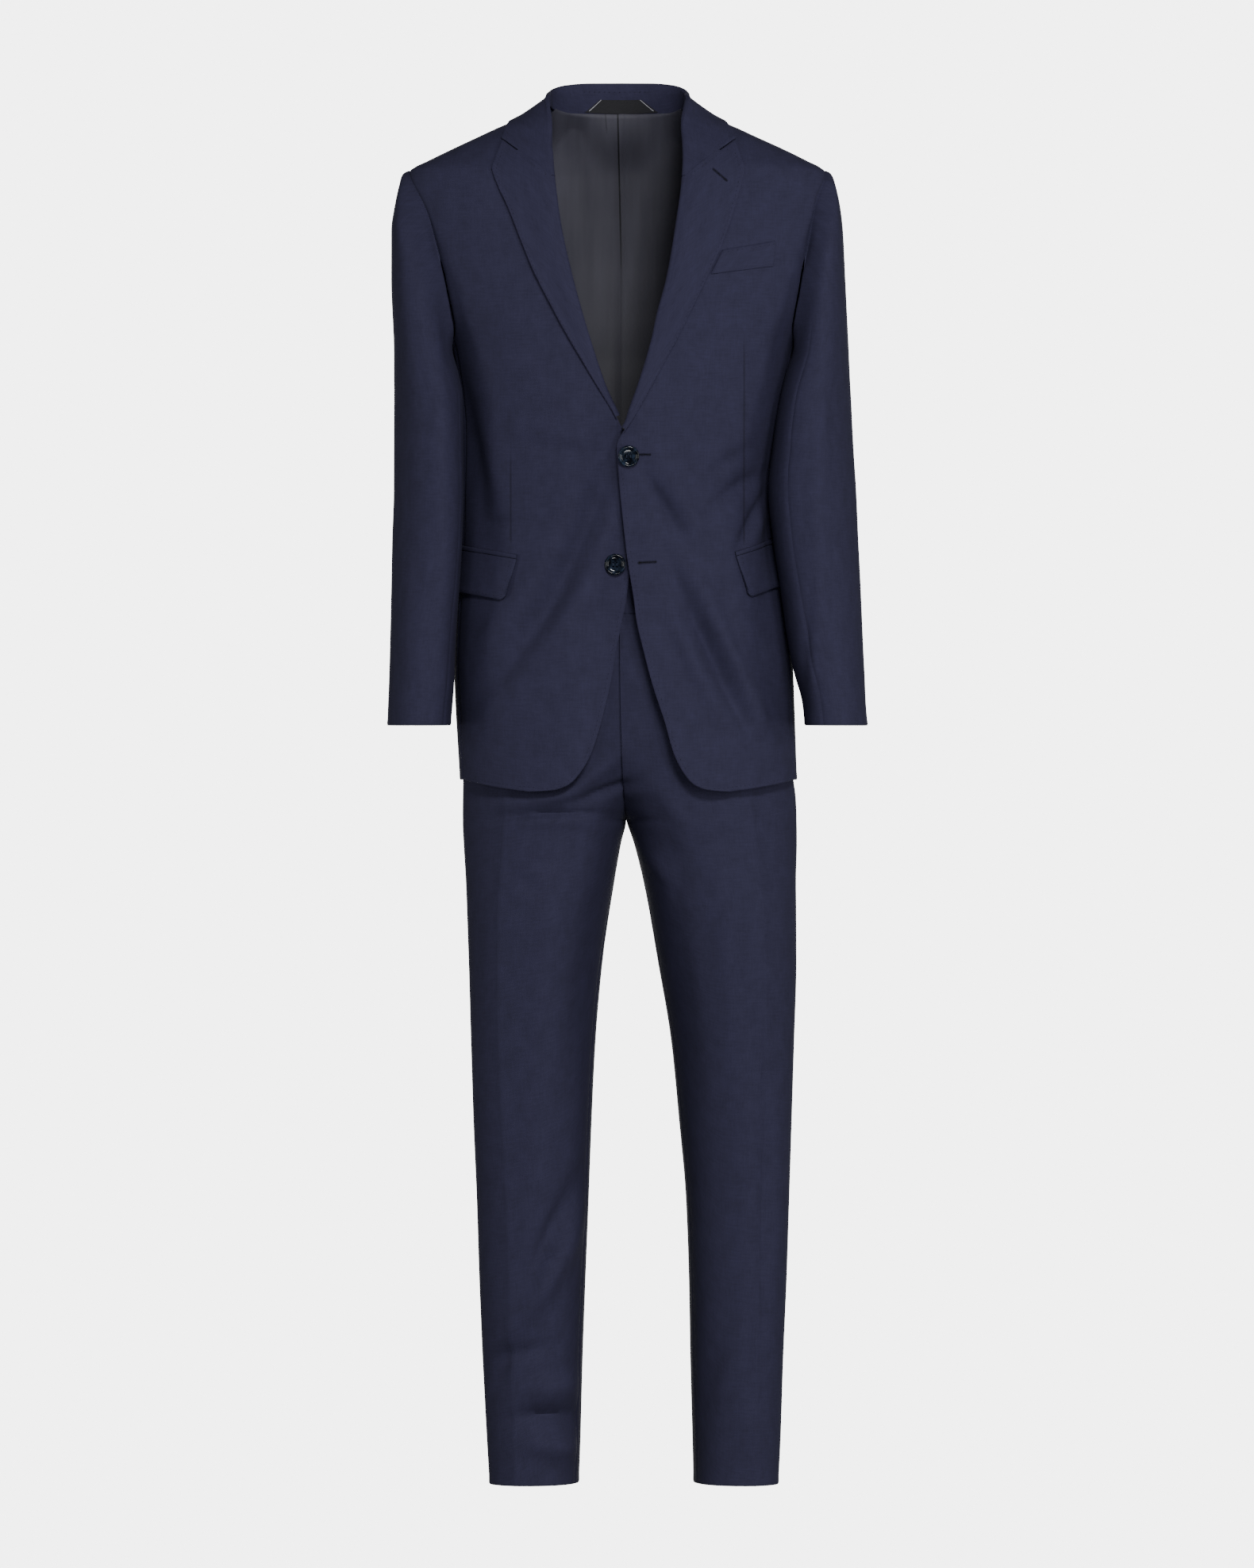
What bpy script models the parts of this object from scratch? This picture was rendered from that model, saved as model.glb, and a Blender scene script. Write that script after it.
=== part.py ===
"""Two-piece suit, hollow and filled out as worn: a two-button jacket with notch lapels
over flat-front trousers, each cut piece a cloth wall of its own.

Lengths here are millimetres, and add_object() turns them into metres. +Z is up, the front
faces -Y and the wearer's left is +X. The origin is at the height of the neck seam, midway
through the neck. "Left" and "right" are the wearer's. The left front laps over the right.
"""

import math

import bmesh
import bpy
import numpy as np
from mathutils import Matrix

MM = 0.001

# Cloth walls and the gaps between pieces
CLOTH = 2.0
LINING_CLOTH = 1.0
SEAM_BACK_OFF = 0.16
LYING_GAP = 1.2

# Jacket
SECTION_POWER = 2.3
FRONT_SIDE_SEAM = math.radians(-14)
BACK_SIDE_SEAM = math.radians(25)
ARMPIT_DROP = 12.0
OVERLAP_LIFT = 3.5
UNDERLAP_DROP = 2.5
OVERLAP_REACH = 60.0
ROLL_RADIUS = 4.2
COLLAR_BACK_RADIUS = 7.5
COLLAR_LEAN_IN = 0.25
COLLAR_LEAN_FORWARD = 0.1
BACK_COLUMNS = 7
LINING_DEPTH = 5.2
PLEAT_LAP = 9.0
PLEAT_LIFT = 2.6
# The lining's rows: the height at the centre back, and the height and angle at the outer end
LINING_COLUMNS = ("z", "outer_z", "outer_angle")
LINING_ROWS = (
    (-2.4, 3.4, 32),
    (-22, -18, 36),
    (-45, -43, 38),
    (-70, -70, 40),
    (-100, -100, 40),
    (-140, -140, 40),
    (-190, -190, 40),
    (-240, -240, 40),
    (-290, -290, 40),
    (-340, -340, 40),
    (-380, -380, 40),
    (-420, -420, 40),
)
# The label's rows: the share of the stand's height, and the ends' x
LABEL_COLUMNS = ("height", "start", "end")
LABEL_ROWS = ((0.53, -25.5, 20.4), (0.35, -32.5, 28.5), (0.16, -39.6, 37.2))
LABEL_STAND_OFF = 1.3
LABEL_CLOTH = 0.8

# Pockets
# The front end of each pocket's mouth, as x from the centre, z and the rise to its back end
POCKET_FRONT_END = {"left": (121.9, -483.2, 17.0), "right": (114.5, -486.5, 12.0)}
FLAP_BACK_ANGLE = math.radians(6)
FLAP_SLANT = math.radians(3.4)
FLAP_CLOTH = 1.6
FLAP_LENGTH = 148.0
FLAP_HEIGHT = 45.0
FLAP_CORNER = 9.0
JET_HEIGHT = 4.5
# The welt's top and bottom corner (x, z) at each end, and its stand off the front
WELT_INNER_END = ((107.0, -152.6), (95.0, -178.4))
WELT_OUTER_END = ((165.1, -141.8), (162.5, -168.7))
WELT_HEIGHT_OUT = 2.6

# Buttons
BUTTON_DIAMETER = 23.0
BUTTON_THICKNESS = 4.2
BUTTON_HOLE = 2.2
BUTTON_HOLE_SPACING = 4.0
BUTTON_SIDES = 20
BUTTON_STAND_OFF = 1.6
# Each button's front, and its place across and up it
BUTTONS = {"button_upper": ("left", 6.0, -375.3), "button_lower": ("right", 8.5, -492.6)}

# Trousers
WAIST_TOP = -508.0
WAISTBAND_HEIGHT = 38.0
CROTCH = -769.0
FRONT_RISE_CURVE = 95.0
BACK_RISE_CURVE = 120.0
CREASE_RIDGE = 2.5

# Half widths to each side of x = 0, and depths to the front and back of y = 0
TORSO_COLUMNS = ("z", "right", "left", "front", "back")
TORSO = (
    (8, 84, 72, 32, 52),
    (0, 102, 89, 40, 60),
    (-10, 124, 111, 49, 68),
    (-24, 156, 143, 58, 76),
    (-40, 190, 178, 68, 84),
    (-60, 232, 219, 79, 92),
    (-76, 236, 224, 86, 97),
    (-108, 231, 225, 98, 106),
    (-166, 221, 220, 113, 117),
    (-218, 204, 205, 121, 120),
    (-256, 187, 187, 125, 120),
    (-307, 178, 176, 127, 116),
    (-360, 176, 167, 125, 108),
    (-411, 174, 160, 121, 102),
    (-440, 173, 161, 119, 101),
    (-480, 173, 165, 119, 104),
    (-524, 177, 172, 122, 109),
    (-560, 181, 178, 125, 113),
    (-610, 182.5, 185, 128, 117),
    (-640, 183, 187, 130, 118),
    (-700, 179.5, 189, 132, 120),
    (-740, 177, 190.5, 133, 121),
)

# How far the armhole's edge lies in front of and behind y = 0, from the shoulder point to
# the tops of the side panel's seams
ARMHOLE_COLUMNS = ("z", "front", "back")
ARMHOLE = (
    (-60, 0, 0),
    (-66, 14, 16),
    (-76, 27, 31),
    (-90, 39, 46),
    (-108, 49, 58),
    (-130, 58, 67),
    (-154, 64, 74),
    (-180, 67, 79),
    (-205, 67, 79),
    (-225, 61, 74),
    (-238, 51, 67),
    (-246, 37.4, 57.7),
)
SHOULDER_HEIGHTS = (8, -10, -24, -40, -52, -60)
SIDE_SEAM_HEIGHTS = (
    -246, -262, -290, -320, -350, -380, -411, -440, -472, -504, -536, -568, -600, -632,
)
BACK_HEM_HEIGHTS = (-664, -695, -725)
BACK_HEM_DIP = 3.0

# The front edge of each front, measured from x = 0 towards that front's own side: the roll
# line down to the top button, then the edge that laps, then the cutaway
FRONT_EDGE_COLUMNS = ("z", "left", "right")
FRONT_EDGE = (
    (8, 71.2, 83.2),
    (3, 70.8, 83.8),
    (-7, 70, 84),
    (-30, 69.5, 82.5),
    (-50, 69, 80),
    (-75, 67.5, 77.5),
    (-124, 61, 71),
    (-185, 50.5, 57.5),
    (-220, 41, 48),
    (-252, 34, 38.5),
    (-303, 18.5, 21.3),
    (-325, 10.5, 11),
    (-340, 5.5, 4),
    (-352, -1.5, -3),
    (-365, -6.8, -6),
    (-382, -6, -8),
    (-421, -2.5, -9),
    (-484, 4.3, -8),
    (-534, 12, -3),
    (-552, 14.2, 0.8),
    (-587, 22.3, 7.5),
    (-620, 30.9, 13.5),
    (-664, 45.5, 24),
)
# The last rows of a front: the side seam's height, and the rounded corner that they run to
CUTAWAY_COLUMNS = ("side_z", "edge_z", "left", "right")
CUTAWAY = (
    (-664, -664, 45.5, 24),
    (-690, -697, 55, 35),
    (-706, -718, 66, 47),
    (-716, -731, 78, 60),
    (-722, -736.5, 93, 76),
    (-725, -738, 113, 100),
)

LAPEL_EDGE_COLUMNS = ("z", "left", "right")
LAPEL_EDGE = (
    (-31.5, 120.7, 130.2),
    (-47.6, 127, 137.5),
    (-63, 130.9, 141.2),
    (-84, 127.5, 134.5),
    (-104.5, 121.2, 124.6),
    (-139, 110, 111),
    (-173, 95, 97),
    (-213, 76, 77),
    (-245, 60.5, 60),
    (-273, 45.5, 43.8),
    (-300, 31, 28),
    (-325, 17, 12.8),
    (-340, 8, 5),
    (-353, -1, -0.9),
)
GORGE_AT_ROLL = -71.8
LAPEL_ROWS = 15
LAPEL_FOOT = {"left": (-346, -351), "right": (-333, -337)}
LAPEL_BELLY = 1.8

# From the gorge seam round to the centre back: the neck seam, how far the fold stands
# beyond it, and the outer edge of the fall. On the front the seam follows the front edge.
COLLAR_COLUMNS = ("seam_z", "seam_angle", "stand", "fall_z", "fall_angle")
COLLAR = (
    (-71.2, None, 4.2, -28.8, -41),
    (-58, None, 4.3, -25, -38),
    (-44, None, 4.7, -20.5, -33),
    (-30, None, 5.6, -15.5, -27),
    (-16, None, 7.2, -11.5, -19),
    (-4, None, 9.5, -8.5, -10),
    (3, None, 12, -7.2, -5),
    (8, 0, 15, -6.5, 0),
    (7, 18, 19.5, -7, 14),
    (5.5, 34, 25.5, -8, 30),
    (3.4, 50, 30.5, -9, 47),
    (1.2, 70, 35.5, -9.7, 69),
    (0, 90, 38, -10, 90),
)

# Soft folds of the fronts, as a centre, a direction, a length, a width and a height
FOLD_COLUMNS = ("x", "z", "turn", "length", "width", "height")
FRONT_FOLDS = (
    (-75, -520, 62, 150, 26, -3.2),
    (-20, -455, 55, 70, 22, 2.0),
    (75, -500, -58, 150, 26, 2.8),
    (120, -560, -62, 120, 24, -2.4),
    (125, -395, 52, 90, 20, -3.0),
    (60, -440, -40, 70, 18, -1.8),
)

# Sleeves: the outer and inner edge from x = 0, and the front and back edge from y = 0
SLEEVE_COLUMNS = ("z", "outer", "inner", "front", "back", "turn")
SLEEVES = {
    "right": (
        (-60, 236, 187.5, 66, 76, 0),
        (-66, 240, 187.5, 68, 78, 0),
        (-75, 243.5, 187.5, 70, 79, 0),
        (-100, 249.4, 187.5, 74, 80, 0),
        (-126, 252.9, 187.5, 78, 80, 0),
        (-178, 252.9, 187.5, 82, 78, 0),
        (-258, 250, 187.8, 86, 70, 4),
        (-307, 249.4, 177, 94, 58, 10),
        (-360, 249.4, 175.6, 101, 46, 13),
        (-411, 249.4, 175, 104, 38, 14),
        (-463, 251, 176.5, 105, 33, 14),
        (-515, 252, 180, 105, 29, 12),
        (-560, 253, 183.2, 105, 25, 9),
        (-620, 254.6, 185, 105, 18, 7),
        (-666, 256.3, 189, 105, 12, 6),
    ),
    "left": (
        (-60, 222, 187.5, 66, 76, 0),
        (-66, 225, 187.5, 68, 78, 0),
        (-75, 229, 187.5, 70, 79, 0),
        (-100, 235.6, 187.5, 74, 80, 0),
        (-126, 239, 187.5, 78, 80, 0),
        (-178, 242.5, 187.5, 82, 78, 0),
        (-258, 245.9, 187.8, 86, 70, 4),
        (-307, 247.6, 175, 94, 58, 10),
        (-360, 249.8, 166, 101, 46, 13),
        (-411, 252.9, 159.5, 104, 38, 14),
        (-463, 255, 165, 105, 33, 14),
        (-515, 258, 173, 105, 29, 12),
        (-560, 260, 179.5, 105, 25, 9),
        (-611, 262.5, 188, 105, 19, 7),
        (-640, 264, 196.5, 105, 15, 6),
        (-666, 266, 199.5, 105, 12, 6),
    ),
}
CUFF = -666.0
SLEEVE_ROWS = 14
SLEEVE_ROW_CROWDING = 1.6
SLEEVE_POWER = 2.15
SLEEVE_CLEARANCE = 0.9
ARMHOLE_HALF_DEPTH = 72.0
# How many rows the armhole's own shape carries down
ARMHOLE_BLEND_ROWS = 1.6
UNDERARM_TOP = -140.0
UNDERARM_BLEND = 45.0
FRONT_ARM_SEAM_HEIGHT = {"right": -225, "left": -180}
BACK_ARM_SEAM_HEIGHT = -154

# Trousers: the outer edge of each leg, its inner edge below the crotch, both from x = 0
# and positive towards the wearer's left, then depths and how the leg is turned out
LEG_COLUMNS = ("z", "outer", "inner", "front", "back", "turn", "crease")
LEGS = {
    "right": (
        (-508, -150, 0, 98, 86, 0, 48),
        (-560, -163, 0, 106, 97, 0, 48),
        (-620, -171, 0, 112, 106, 0, 48),
        (-680, -173, 0, 113, 112, 0, 50),
        (-725, -174.5, 0, 112, 113, 0, 54),
        (-769, -175, 3.4, 110, 110, 0, 60),
        (-792, -174, -1.7, 107, 107, 2, 62),
        (-836, -171.5, -9.5, 103, 103, 5, 65),
        (-922, -168, -22.5, 94, 94, 10, 72),
        (-1009, -165.4, -30.3, 86, 86, 13, 76),
        (-1095, -162.8, -34.6, 80, 82, 14, 79),
        (-1182, -159.3, -38, 75, 80, 14, 82),
        (-1269, -156.7, -41.6, 71, 80, 14, 84),
        (-1355, -153.3, -45, 67, 81, 14, 85),
        (-1442, -149, -47.6, 63, 82, 14, 85),
        (-1487, -146.5, -49.4, 61, 83, 14, 85),
    ),
    "left": (
        (-508, 150, 0, 98, 86, 0, 48),
        (-560, 163, 0, 106, 97, 0, 48),
        (-620, 174, 0, 112, 106, 0, 48),
        (-680, 181, 0, 113, 112, 0, 50),
        (-725, 186, 0, 112, 113, 0, 54),
        (-745, 188.5, 0, 111, 112, 0, 57),
        (-769, 189.5, 3.6, 110, 110, 0, 60),
        (-792, 189.7, 11.3, 107, 107, 2, 62),
        (-836, 188.8, 22.5, 103, 103, 5, 65),
        (-922, 188.8, 38.1, 94, 94, 10, 72),
        (-1009, 186.2, 52.8, 86, 86, 13, 76),
        (-1095, 183.6, 61.5, 80, 82, 14, 79),
        (-1182, 181, 69.3, 75, 80, 14, 82),
        (-1269, 178.4, 72.7, 71, 80, 14, 84),
        (-1355, 174.9, 74.5, 67, 81, 14, 85),
        (-1442, 172.3, 77, 63, 82, 14, 85),
        (-1487, 170.2, 78.2, 61, 83, 14, 85),
    ),
}
CENTRE_SEAM_COLUMNS = ("z", "x")
CENTRE_SEAM = ((-508, -4), (-620, -3), (-700, -1), (-745, 1.5), (-769, 3.5))
LEG_HEIGHTS = (
    -546.4, -575, -605, -635, -660, -685, -705, -722, -738, -751, -761, -769, -777, -792,
    -815, -850, -900, -970, -1050, -1140, -1240, -1340, -1430, -1487,
)
LEG_STEPS = (0.0, 0.12, 0.26, 0.41, 0.5, 0.59, 0.72, 0.86, 1.0)
LEG_POWER = 2.1

SIDES = {"left": 1, "right": -1}
NAVY = (0.022, 0.026, 0.062)
NAVY_DARK = (0.018, 0.021, 0.052)
LINING_GREY = (0.030, 0.031, 0.038)
LABEL_BLACK = (0.010, 0.010, 0.012)
BUTTON_BLUE = (0.006, 0.009, 0.020)


class Curve:
    """A smooth line through the rows of a table that never swings past them."""

    def __init__(self, places, values):
        order = np.argsort(places)
        self.places = np.array(places, float)[order]
        self.values = np.array(values, float)[order]
        steps = np.diff(self.places)
        rises = np.diff(self.values) / steps
        self.slopes = np.zeros(len(self.places))
        self.slopes[0], self.slopes[-1] = rises[0], rises[-1]
        for i in range(1, len(rises)):
            if rises[i - 1] * rises[i] > 0:
                before = 2 * steps[i] + steps[i - 1]
                after = steps[i] + 2 * steps[i - 1]
                mean = before / rises[i - 1] + after / rises[i]
                self.slopes[i] = (before + after) / mean

    def __call__(self, place):
        place = min(max(place, self.places[0]), self.places[-1])
        i = int(np.searchsorted(self.places, place, side="right")) - 1
        i = min(max(i, 0), len(self.places) - 2)
        step = self.places[i + 1] - self.places[i]
        t = (place - self.places[i]) / step
        start = (1 + 2 * t) * (1 - t) ** 2 * self.values[i]
        start += t * (1 - t) ** 2 * step * self.slopes[i]
        end = t * t * (3 - 2 * t) * self.values[i + 1]
        end += t * t * (t - 1) * step * self.slopes[i + 1]
        return start + end


def curves(columns, rows):
    """One curve over the first column for each of a table's other columns."""
    places = [row[0] for row in rows]
    return {
        name: Curve(places, [row[1 + i] for row in rows])
        for i, name in enumerate(columns[1:])
    }


torso = curves(TORSO_COLUMNS, TORSO)
armhole = curves(ARMHOLE_COLUMNS, ARMHOLE)
front_edge = curves(FRONT_EDGE_COLUMNS, FRONT_EDGE)
lapel_edge = curves(LAPEL_EDGE_COLUMNS, LAPEL_EDGE)
centre_seam = curves(CENTRE_SEAM_COLUMNS, CENTRE_SEAM)["x"]
sleeves = {side: curves(SLEEVE_COLUMNS, rows) for side, rows in SLEEVES.items()}
legs = {side: curves(LEG_COLUMNS, rows) for side, rows in LEGS.items()}


def mix(a, b, t):
    return a + (b - a) * t


def smooth(t):
    t = min(max(t, 0.0), 1.0)
    return t * t * (3 - 2 * t)


def unit(vector):
    return vector / np.linalg.norm(vector)


def signed_power(value, power):
    return math.copysign(abs(value) ** power, value)


# ---- The jacket's form: a rounded section at each height -------------------------------


def torso_reach(x, y, z):
    """1 on the jacket's surface, less inside it and more outside."""
    width = torso["left"](z) if x > 0 else torso["right"](z)
    depth = torso["back"](z) if y > 0 else torso["front"](z)
    return (abs(x) / width) ** SECTION_POWER + (abs(y) / depth) ** SECTION_POWER


def torso_normal(x, y, z):
    step = 0.5
    slope = [
        torso_reach(x + step, y, z) - torso_reach(x - step, y, z),
        torso_reach(x, y + step, z) - torso_reach(x, y - step, z),
        torso_reach(x, y, z + step) - torso_reach(x, y, z - step),
    ]
    return unit(np.array(slope))


def torso_point(side, angle, z):
    """The section's point at an angle from its side: -90 degrees is the centre front."""
    across, along = math.cos(angle), math.sin(angle)
    own = SIDES[side] if across >= 0 else -SIDES[side]
    width = torso["left"](z) if own > 0 else torso["right"](z)
    depth = torso["back"](z) if along > 0 else torso["front"](z)
    power = 2 / SECTION_POWER
    x = SIDES[side] * width * signed_power(across, power)
    return np.array([x, depth * signed_power(along, power), z])


def front_angle(side, across, z):
    """The angle of the front point that lies this far from x = 0, towards its own side."""
    own = SIDES[side] if across >= 0 else -SIDES[side]
    width = torso["left"](z) if own > 0 else torso["right"](z)
    share = min(abs(across) / width, 1.0) ** (SECTION_POWER / 2)
    return -math.acos(math.copysign(share, across))


def depth_angle(depth, y):
    return math.asin(min(abs(y) / depth, 1.0) ** (SECTION_POWER / 2))


def fold_height(x, z):
    """The rise of the soft folds across the fronts."""
    total = 0.0
    for row in FRONT_FOLDS:
        fold = dict(zip(FOLD_COLUMNS, row))
        turn = math.radians(fold["turn"])
        right, up = x - fold["x"], z - fold["z"]
        along = right * math.cos(turn) + up * math.sin(turn)
        across = up * math.cos(turn) - right * math.sin(turn)
        fade = (2 * along / fold["length"]) ** 2 + (across / fold["width"]) ** 2
        total += fold["height"] * math.exp(-fade)
    return total


def lap(side, x, z):
    """How far the lapping fronts stand apart from the jacket's form round the closing."""
    across = x * SIDES[side]
    near = 1 - smooth((across - 8) / OVERLAP_REACH)
    low = smooth((-z - 240) / 80)
    amount = OVERLAP_LIFT if side == "left" else -UNDERLAP_DROP
    return amount * near * low


def on_jacket(side, angle, z, out=0.0):
    """A point of the jacket's surface moved out, with the surface's direction there."""
    point = torso_point(side, angle, z)
    normal = torso_normal(*point)
    if point[1] < 0:
        out += fold_height(point[0], z) + lap(side, point[0], z)
    return point + normal * out, normal


def on_front(side, across, z, out=0.0):
    return on_jacket(side, front_angle(side, across, z), z, out)


def even_row(side, start, end, count, out=0.0):
    """Points evenly spaced along the surface from one (angle, z) to another."""
    shares = np.linspace(0, 1, 49)
    places = [(mix(start[0], end[0], t), mix(start[1], end[1], t)) for t in shares]
    points = np.array([torso_point(side, *place) for place in places])
    lengths = np.linalg.norm(np.diff(points, axis=0), axis=1)
    run = np.concatenate([[0], np.cumsum(lengths)])
    wanted = np.interp(np.linspace(0, run[-1], count), run, shares)
    row = [
        on_jacket(side, mix(start[0], end[0], t), mix(start[1], end[1], t), out)
        for t in wanted
    ]
    return [point for point, _ in row], [normal for _, normal in row]


# ---- Walls -----------------------------------------------------------------------------


def back_off(points, edges):
    """Draws the named edges of a grid of points back from the seams they meet."""
    points = points.copy()
    neighbours = {
        "first": (points[:, 0], points[:, 1]),
        "last": (points[:, -1], points[:, -2]),
        "top": (points[0], points[1]),
        "bottom": (points[-1], points[-2]),
    }
    moves = {}
    for edge in edges:
        at, inner = neighbours[edge]
        way = inner - at
        moves[edge] = SEAM_BACK_OFF * way / np.linalg.norm(way, axis=-1, keepdims=True)
    for edge, move in moves.items():
        if edge == "first":
            points[:, 0] += move
        elif edge == "last":
            points[:, -1] += move
        elif edge == "top":
            points[0] += move
        else:
            points[-1] += move
    return points


def add_object(name, vertices, faces, material):
    mesh = bpy.data.meshes.new(name)
    mesh.from_pydata([tuple(MM * float(c) for c in v) for v in vertices], [], faces)
    shape = bmesh.new()
    shape.from_mesh(mesh)
    bmesh.ops.recalc_face_normals(shape, faces=shape.faces)
    bmesh.ops.triangulate(shape, faces=shape.faces)
    if shape.calc_volume(signed=True) < 0:
        bmesh.ops.reverse_faces(shape, faces=shape.faces)
    shape.to_mesh(mesh)
    shape.free()
    mesh.shade_smooth()
    mesh.set_sharp_from_angle(angle=math.radians(40))
    mesh.materials.append(material)
    made = bpy.data.objects.new(name, mesh)
    bpy.context.scene.collection.objects.link(made)
    return made


def wall(name, points, normals, material, thickness=CLOTH):
    """A closed wall: the points are its outer face, and its inner face lies behind them."""
    points, normals = np.array(points, float), np.array(normals, float)
    rows, columns = points.shape[:2]
    count = rows * columns
    vertices = np.concatenate(
        [points.reshape(-1, 3), (points - normals * thickness).reshape(-1, 3)]
    )
    faces = []
    for r in range(rows - 1):
        for c in range(columns - 1):
            a, b = r * columns + c, (r + 1) * columns + c
            faces.append((a, b, b + 1, a + 1))
            faces.append((a + count, a + 1 + count, b + 1 + count, b + count))
    rim = [c for c in range(columns)]
    rim += [r * columns + columns - 1 for r in range(1, rows)]
    rim += [(rows - 1) * columns + c for c in range(columns - 2, -1, -1)]
    rim += [r * columns for r in range(rows - 2, 0, -1)]
    for i, a in enumerate(rim):
        b = rim[(i + 1) % len(rim)]
        faces.append((a, b, b + count, a + count))
    return add_object(name, vertices, faces, material)


def grid_normals(points, wrap=False):
    """The outward direction at each point of a grid, from its neighbours."""
    points = np.array(points, float)
    down = np.gradient(points, axis=0)
    if wrap:
        across = np.roll(points, -1, axis=1) - np.roll(points, 1, axis=1)
    else:
        across = np.gradient(points, axis=1)
    normals = np.cross(across, down)
    return normals / np.linalg.norm(normals, axis=-1, keepdims=True)


# ---- Jacket panels ---------------------------------------------------------------------


def armhole_angle(face, z):
    sign = -1 if face == "front" else 1
    return sign * depth_angle(torso[face](z), armhole[face](z))


def armhole_heights():
    return [row[0] for row in ARMHOLE[1:-1]]


def front_rows(side):
    """For each row of a front, its (angle, z) at the front edge and at the outer edge."""
    rows = []
    for z in SHOULDER_HEIGHTS:
        rows.append(((front_angle(side, front_edge[side](z), z), z), (0.0, z)))
    for z in armhole_heights():
        start = (front_angle(side, front_edge[side](z), z), z)
        rows.append((start, (armhole_angle("front", z), z)))
    for z in SIDE_SEAM_HEIGHTS:
        start = (front_angle(side, front_edge[side](z), z), z)
        rows.append((start, (FRONT_SIDE_SEAM, z)))
    for row in CUTAWAY:
        corner = dict(zip(CUTAWAY_COLUMNS, row))
        start = (front_angle(side, corner[side], corner["edge_z"]), corner["edge_z"])
        rows.append((start, (FRONT_SIDE_SEAM, corner["side_z"])))
    return rows


def add_front(side, material):
    rows = [even_row(side, start, end, 9) for start, end in front_rows(side)]
    points = back_off(np.array([row[0] for row in rows]), ["last"])
    wall("jacket_front_" + side, points, [row[1] for row in rows], material)


def back_neck_height(angle):
    """The neck seam, level across the back and rising to the neck point."""
    return SHOULDER_HEIGHTS[0] * math.cos(angle) ** 1.5


def back_hem_dip(z):
    """How much lower a row lies at the centre back than at the side seam."""
    return BACK_HEM_DIP * smooth((BACK_HEM_HEIGHTS[0] + 24 - z) / 80)


def add_back(side, material):
    centre = math.radians(90)
    ends = [(0.0, z) for z in SHOULDER_HEIGHTS[1:]]
    ends += [(armhole_angle("back", z), z) for z in armhole_heights()]
    ends += [(BACK_SIDE_SEAM, z) for z in SIDE_SEAM_HEIGHTS + BACK_HEM_HEIGHTS]
    points, normals = [], []
    for row in [neck_row(side)] + [
        even_row(side, (angle, z), (centre, z - back_hem_dip(z)), BACK_COLUMNS)
        for angle, z in ends
    ]:
        points.append(row[0])
        normals.append(row[1])
    points = back_off(np.array(points), ["first", "last"])
    normals = np.array(normals)
    normals[:, -1, 0] = 0
    wall("jacket_back_" + side, points, normals, material)


def neck_row(side):
    angles = [math.radians(90) * t ** 0.8 for t in np.linspace(0, 1, BACK_COLUMNS)]
    row = [on_jacket(side, angle, back_neck_height(angle)) for angle in angles]
    return [point for point, _ in row], [normal for _, normal in row]


def underarm_height(angle):
    """The armhole's foot, which dips between the side panel's two seams."""
    share = (angle - FRONT_SIDE_SEAM) / (BACK_SIDE_SEAM - FRONT_SIDE_SEAM)
    return SIDE_SEAM_HEIGHTS[0] - ARMPIT_DROP * math.sin(math.pi * share)


def side_angles():
    return np.linspace(FRONT_SIDE_SEAM, BACK_SIDE_SEAM, 5)


def add_side(side, material):
    points, normals = [], []
    for i, z in enumerate(SIDE_SEAM_HEIGHTS + BACK_HEM_HEIGHTS):
        row = [
            on_jacket(side, angle, underarm_height(angle) if i == 0 else z)
            for angle in side_angles()
        ]
        points.append([point for point, _ in row])
        normals.append([normal for _, normal in row])
    points = back_off(np.array(points), ["first", "last"])
    wall("jacket_side_" + side, points, normals, material)


# ---- Lapels and collar -----------------------------------------------------------------


def rolled(edge, normal, beyond, turns, reach=ROLL_RADIUS, lift=0.0):
    """Points round a cloth edge, from behind it to its outer face, with directions.

    Past the first point, a lift raises the roll on an upright stand.
    """
    middle = edge - normal * CLOTH / 2
    points, normals = [], []
    for i, turn in enumerate(turns):
        out, over = math.cos(turn), math.sin(turn)
        side_reach = reach if out > 0 else ROLL_RADIUS
        rise = over * ROLL_RADIUS + (lift if i else 0.0)
        points.append(middle + normal * out * side_reach + beyond * rise)
        normals.append(unit(normal * out * ROLL_RADIUS + beyond * over * side_reach))
    return points, normals


def add_lapel(side, material):
    roll_foot, edge_foot = LAPEL_FOOT[side]
    edge_top = LAPEL_EDGE[0][0]
    turns = [math.radians(turn) for turn in (135, 90, 45)]
    points, normals = [], []
    for t in np.linspace(0, 1, LAPEL_ROWS):
        roll_z, edge_z = mix(GORGE_AT_ROLL, roll_foot, t), mix(edge_top, edge_foot, t)
        roll_x, edge_x = front_edge[side](roll_z), lapel_edge[side](edge_z)
        edge, normal = on_front(side, roll_x, roll_z)
        lower, _ = on_front(side, front_edge[side](roll_z - 4), roll_z - 4)
        beyond = unit(np.cross(unit(lower - edge), normal)) * SIDES[side]
        row, ways = rolled(edge, normal, beyond, turns)
        for share in (0.0, 0.25, 0.5, 0.75, 1.0):
            belly = LAPEL_BELLY * math.sin(math.pi * min(share * 1.2, 1.0))
            out = LYING_GAP + CLOTH + belly * min(1.0, (edge_x - roll_x) / 40)
            point, way = on_front(
                side, mix(roll_x, edge_x, share), mix(roll_z, edge_z, share), out
            )
            row.append(point)
            ways.append(way)
        points.append(row)
        normals.append(ways)
    wall("lapel_" + side, points, normals, material)


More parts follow.
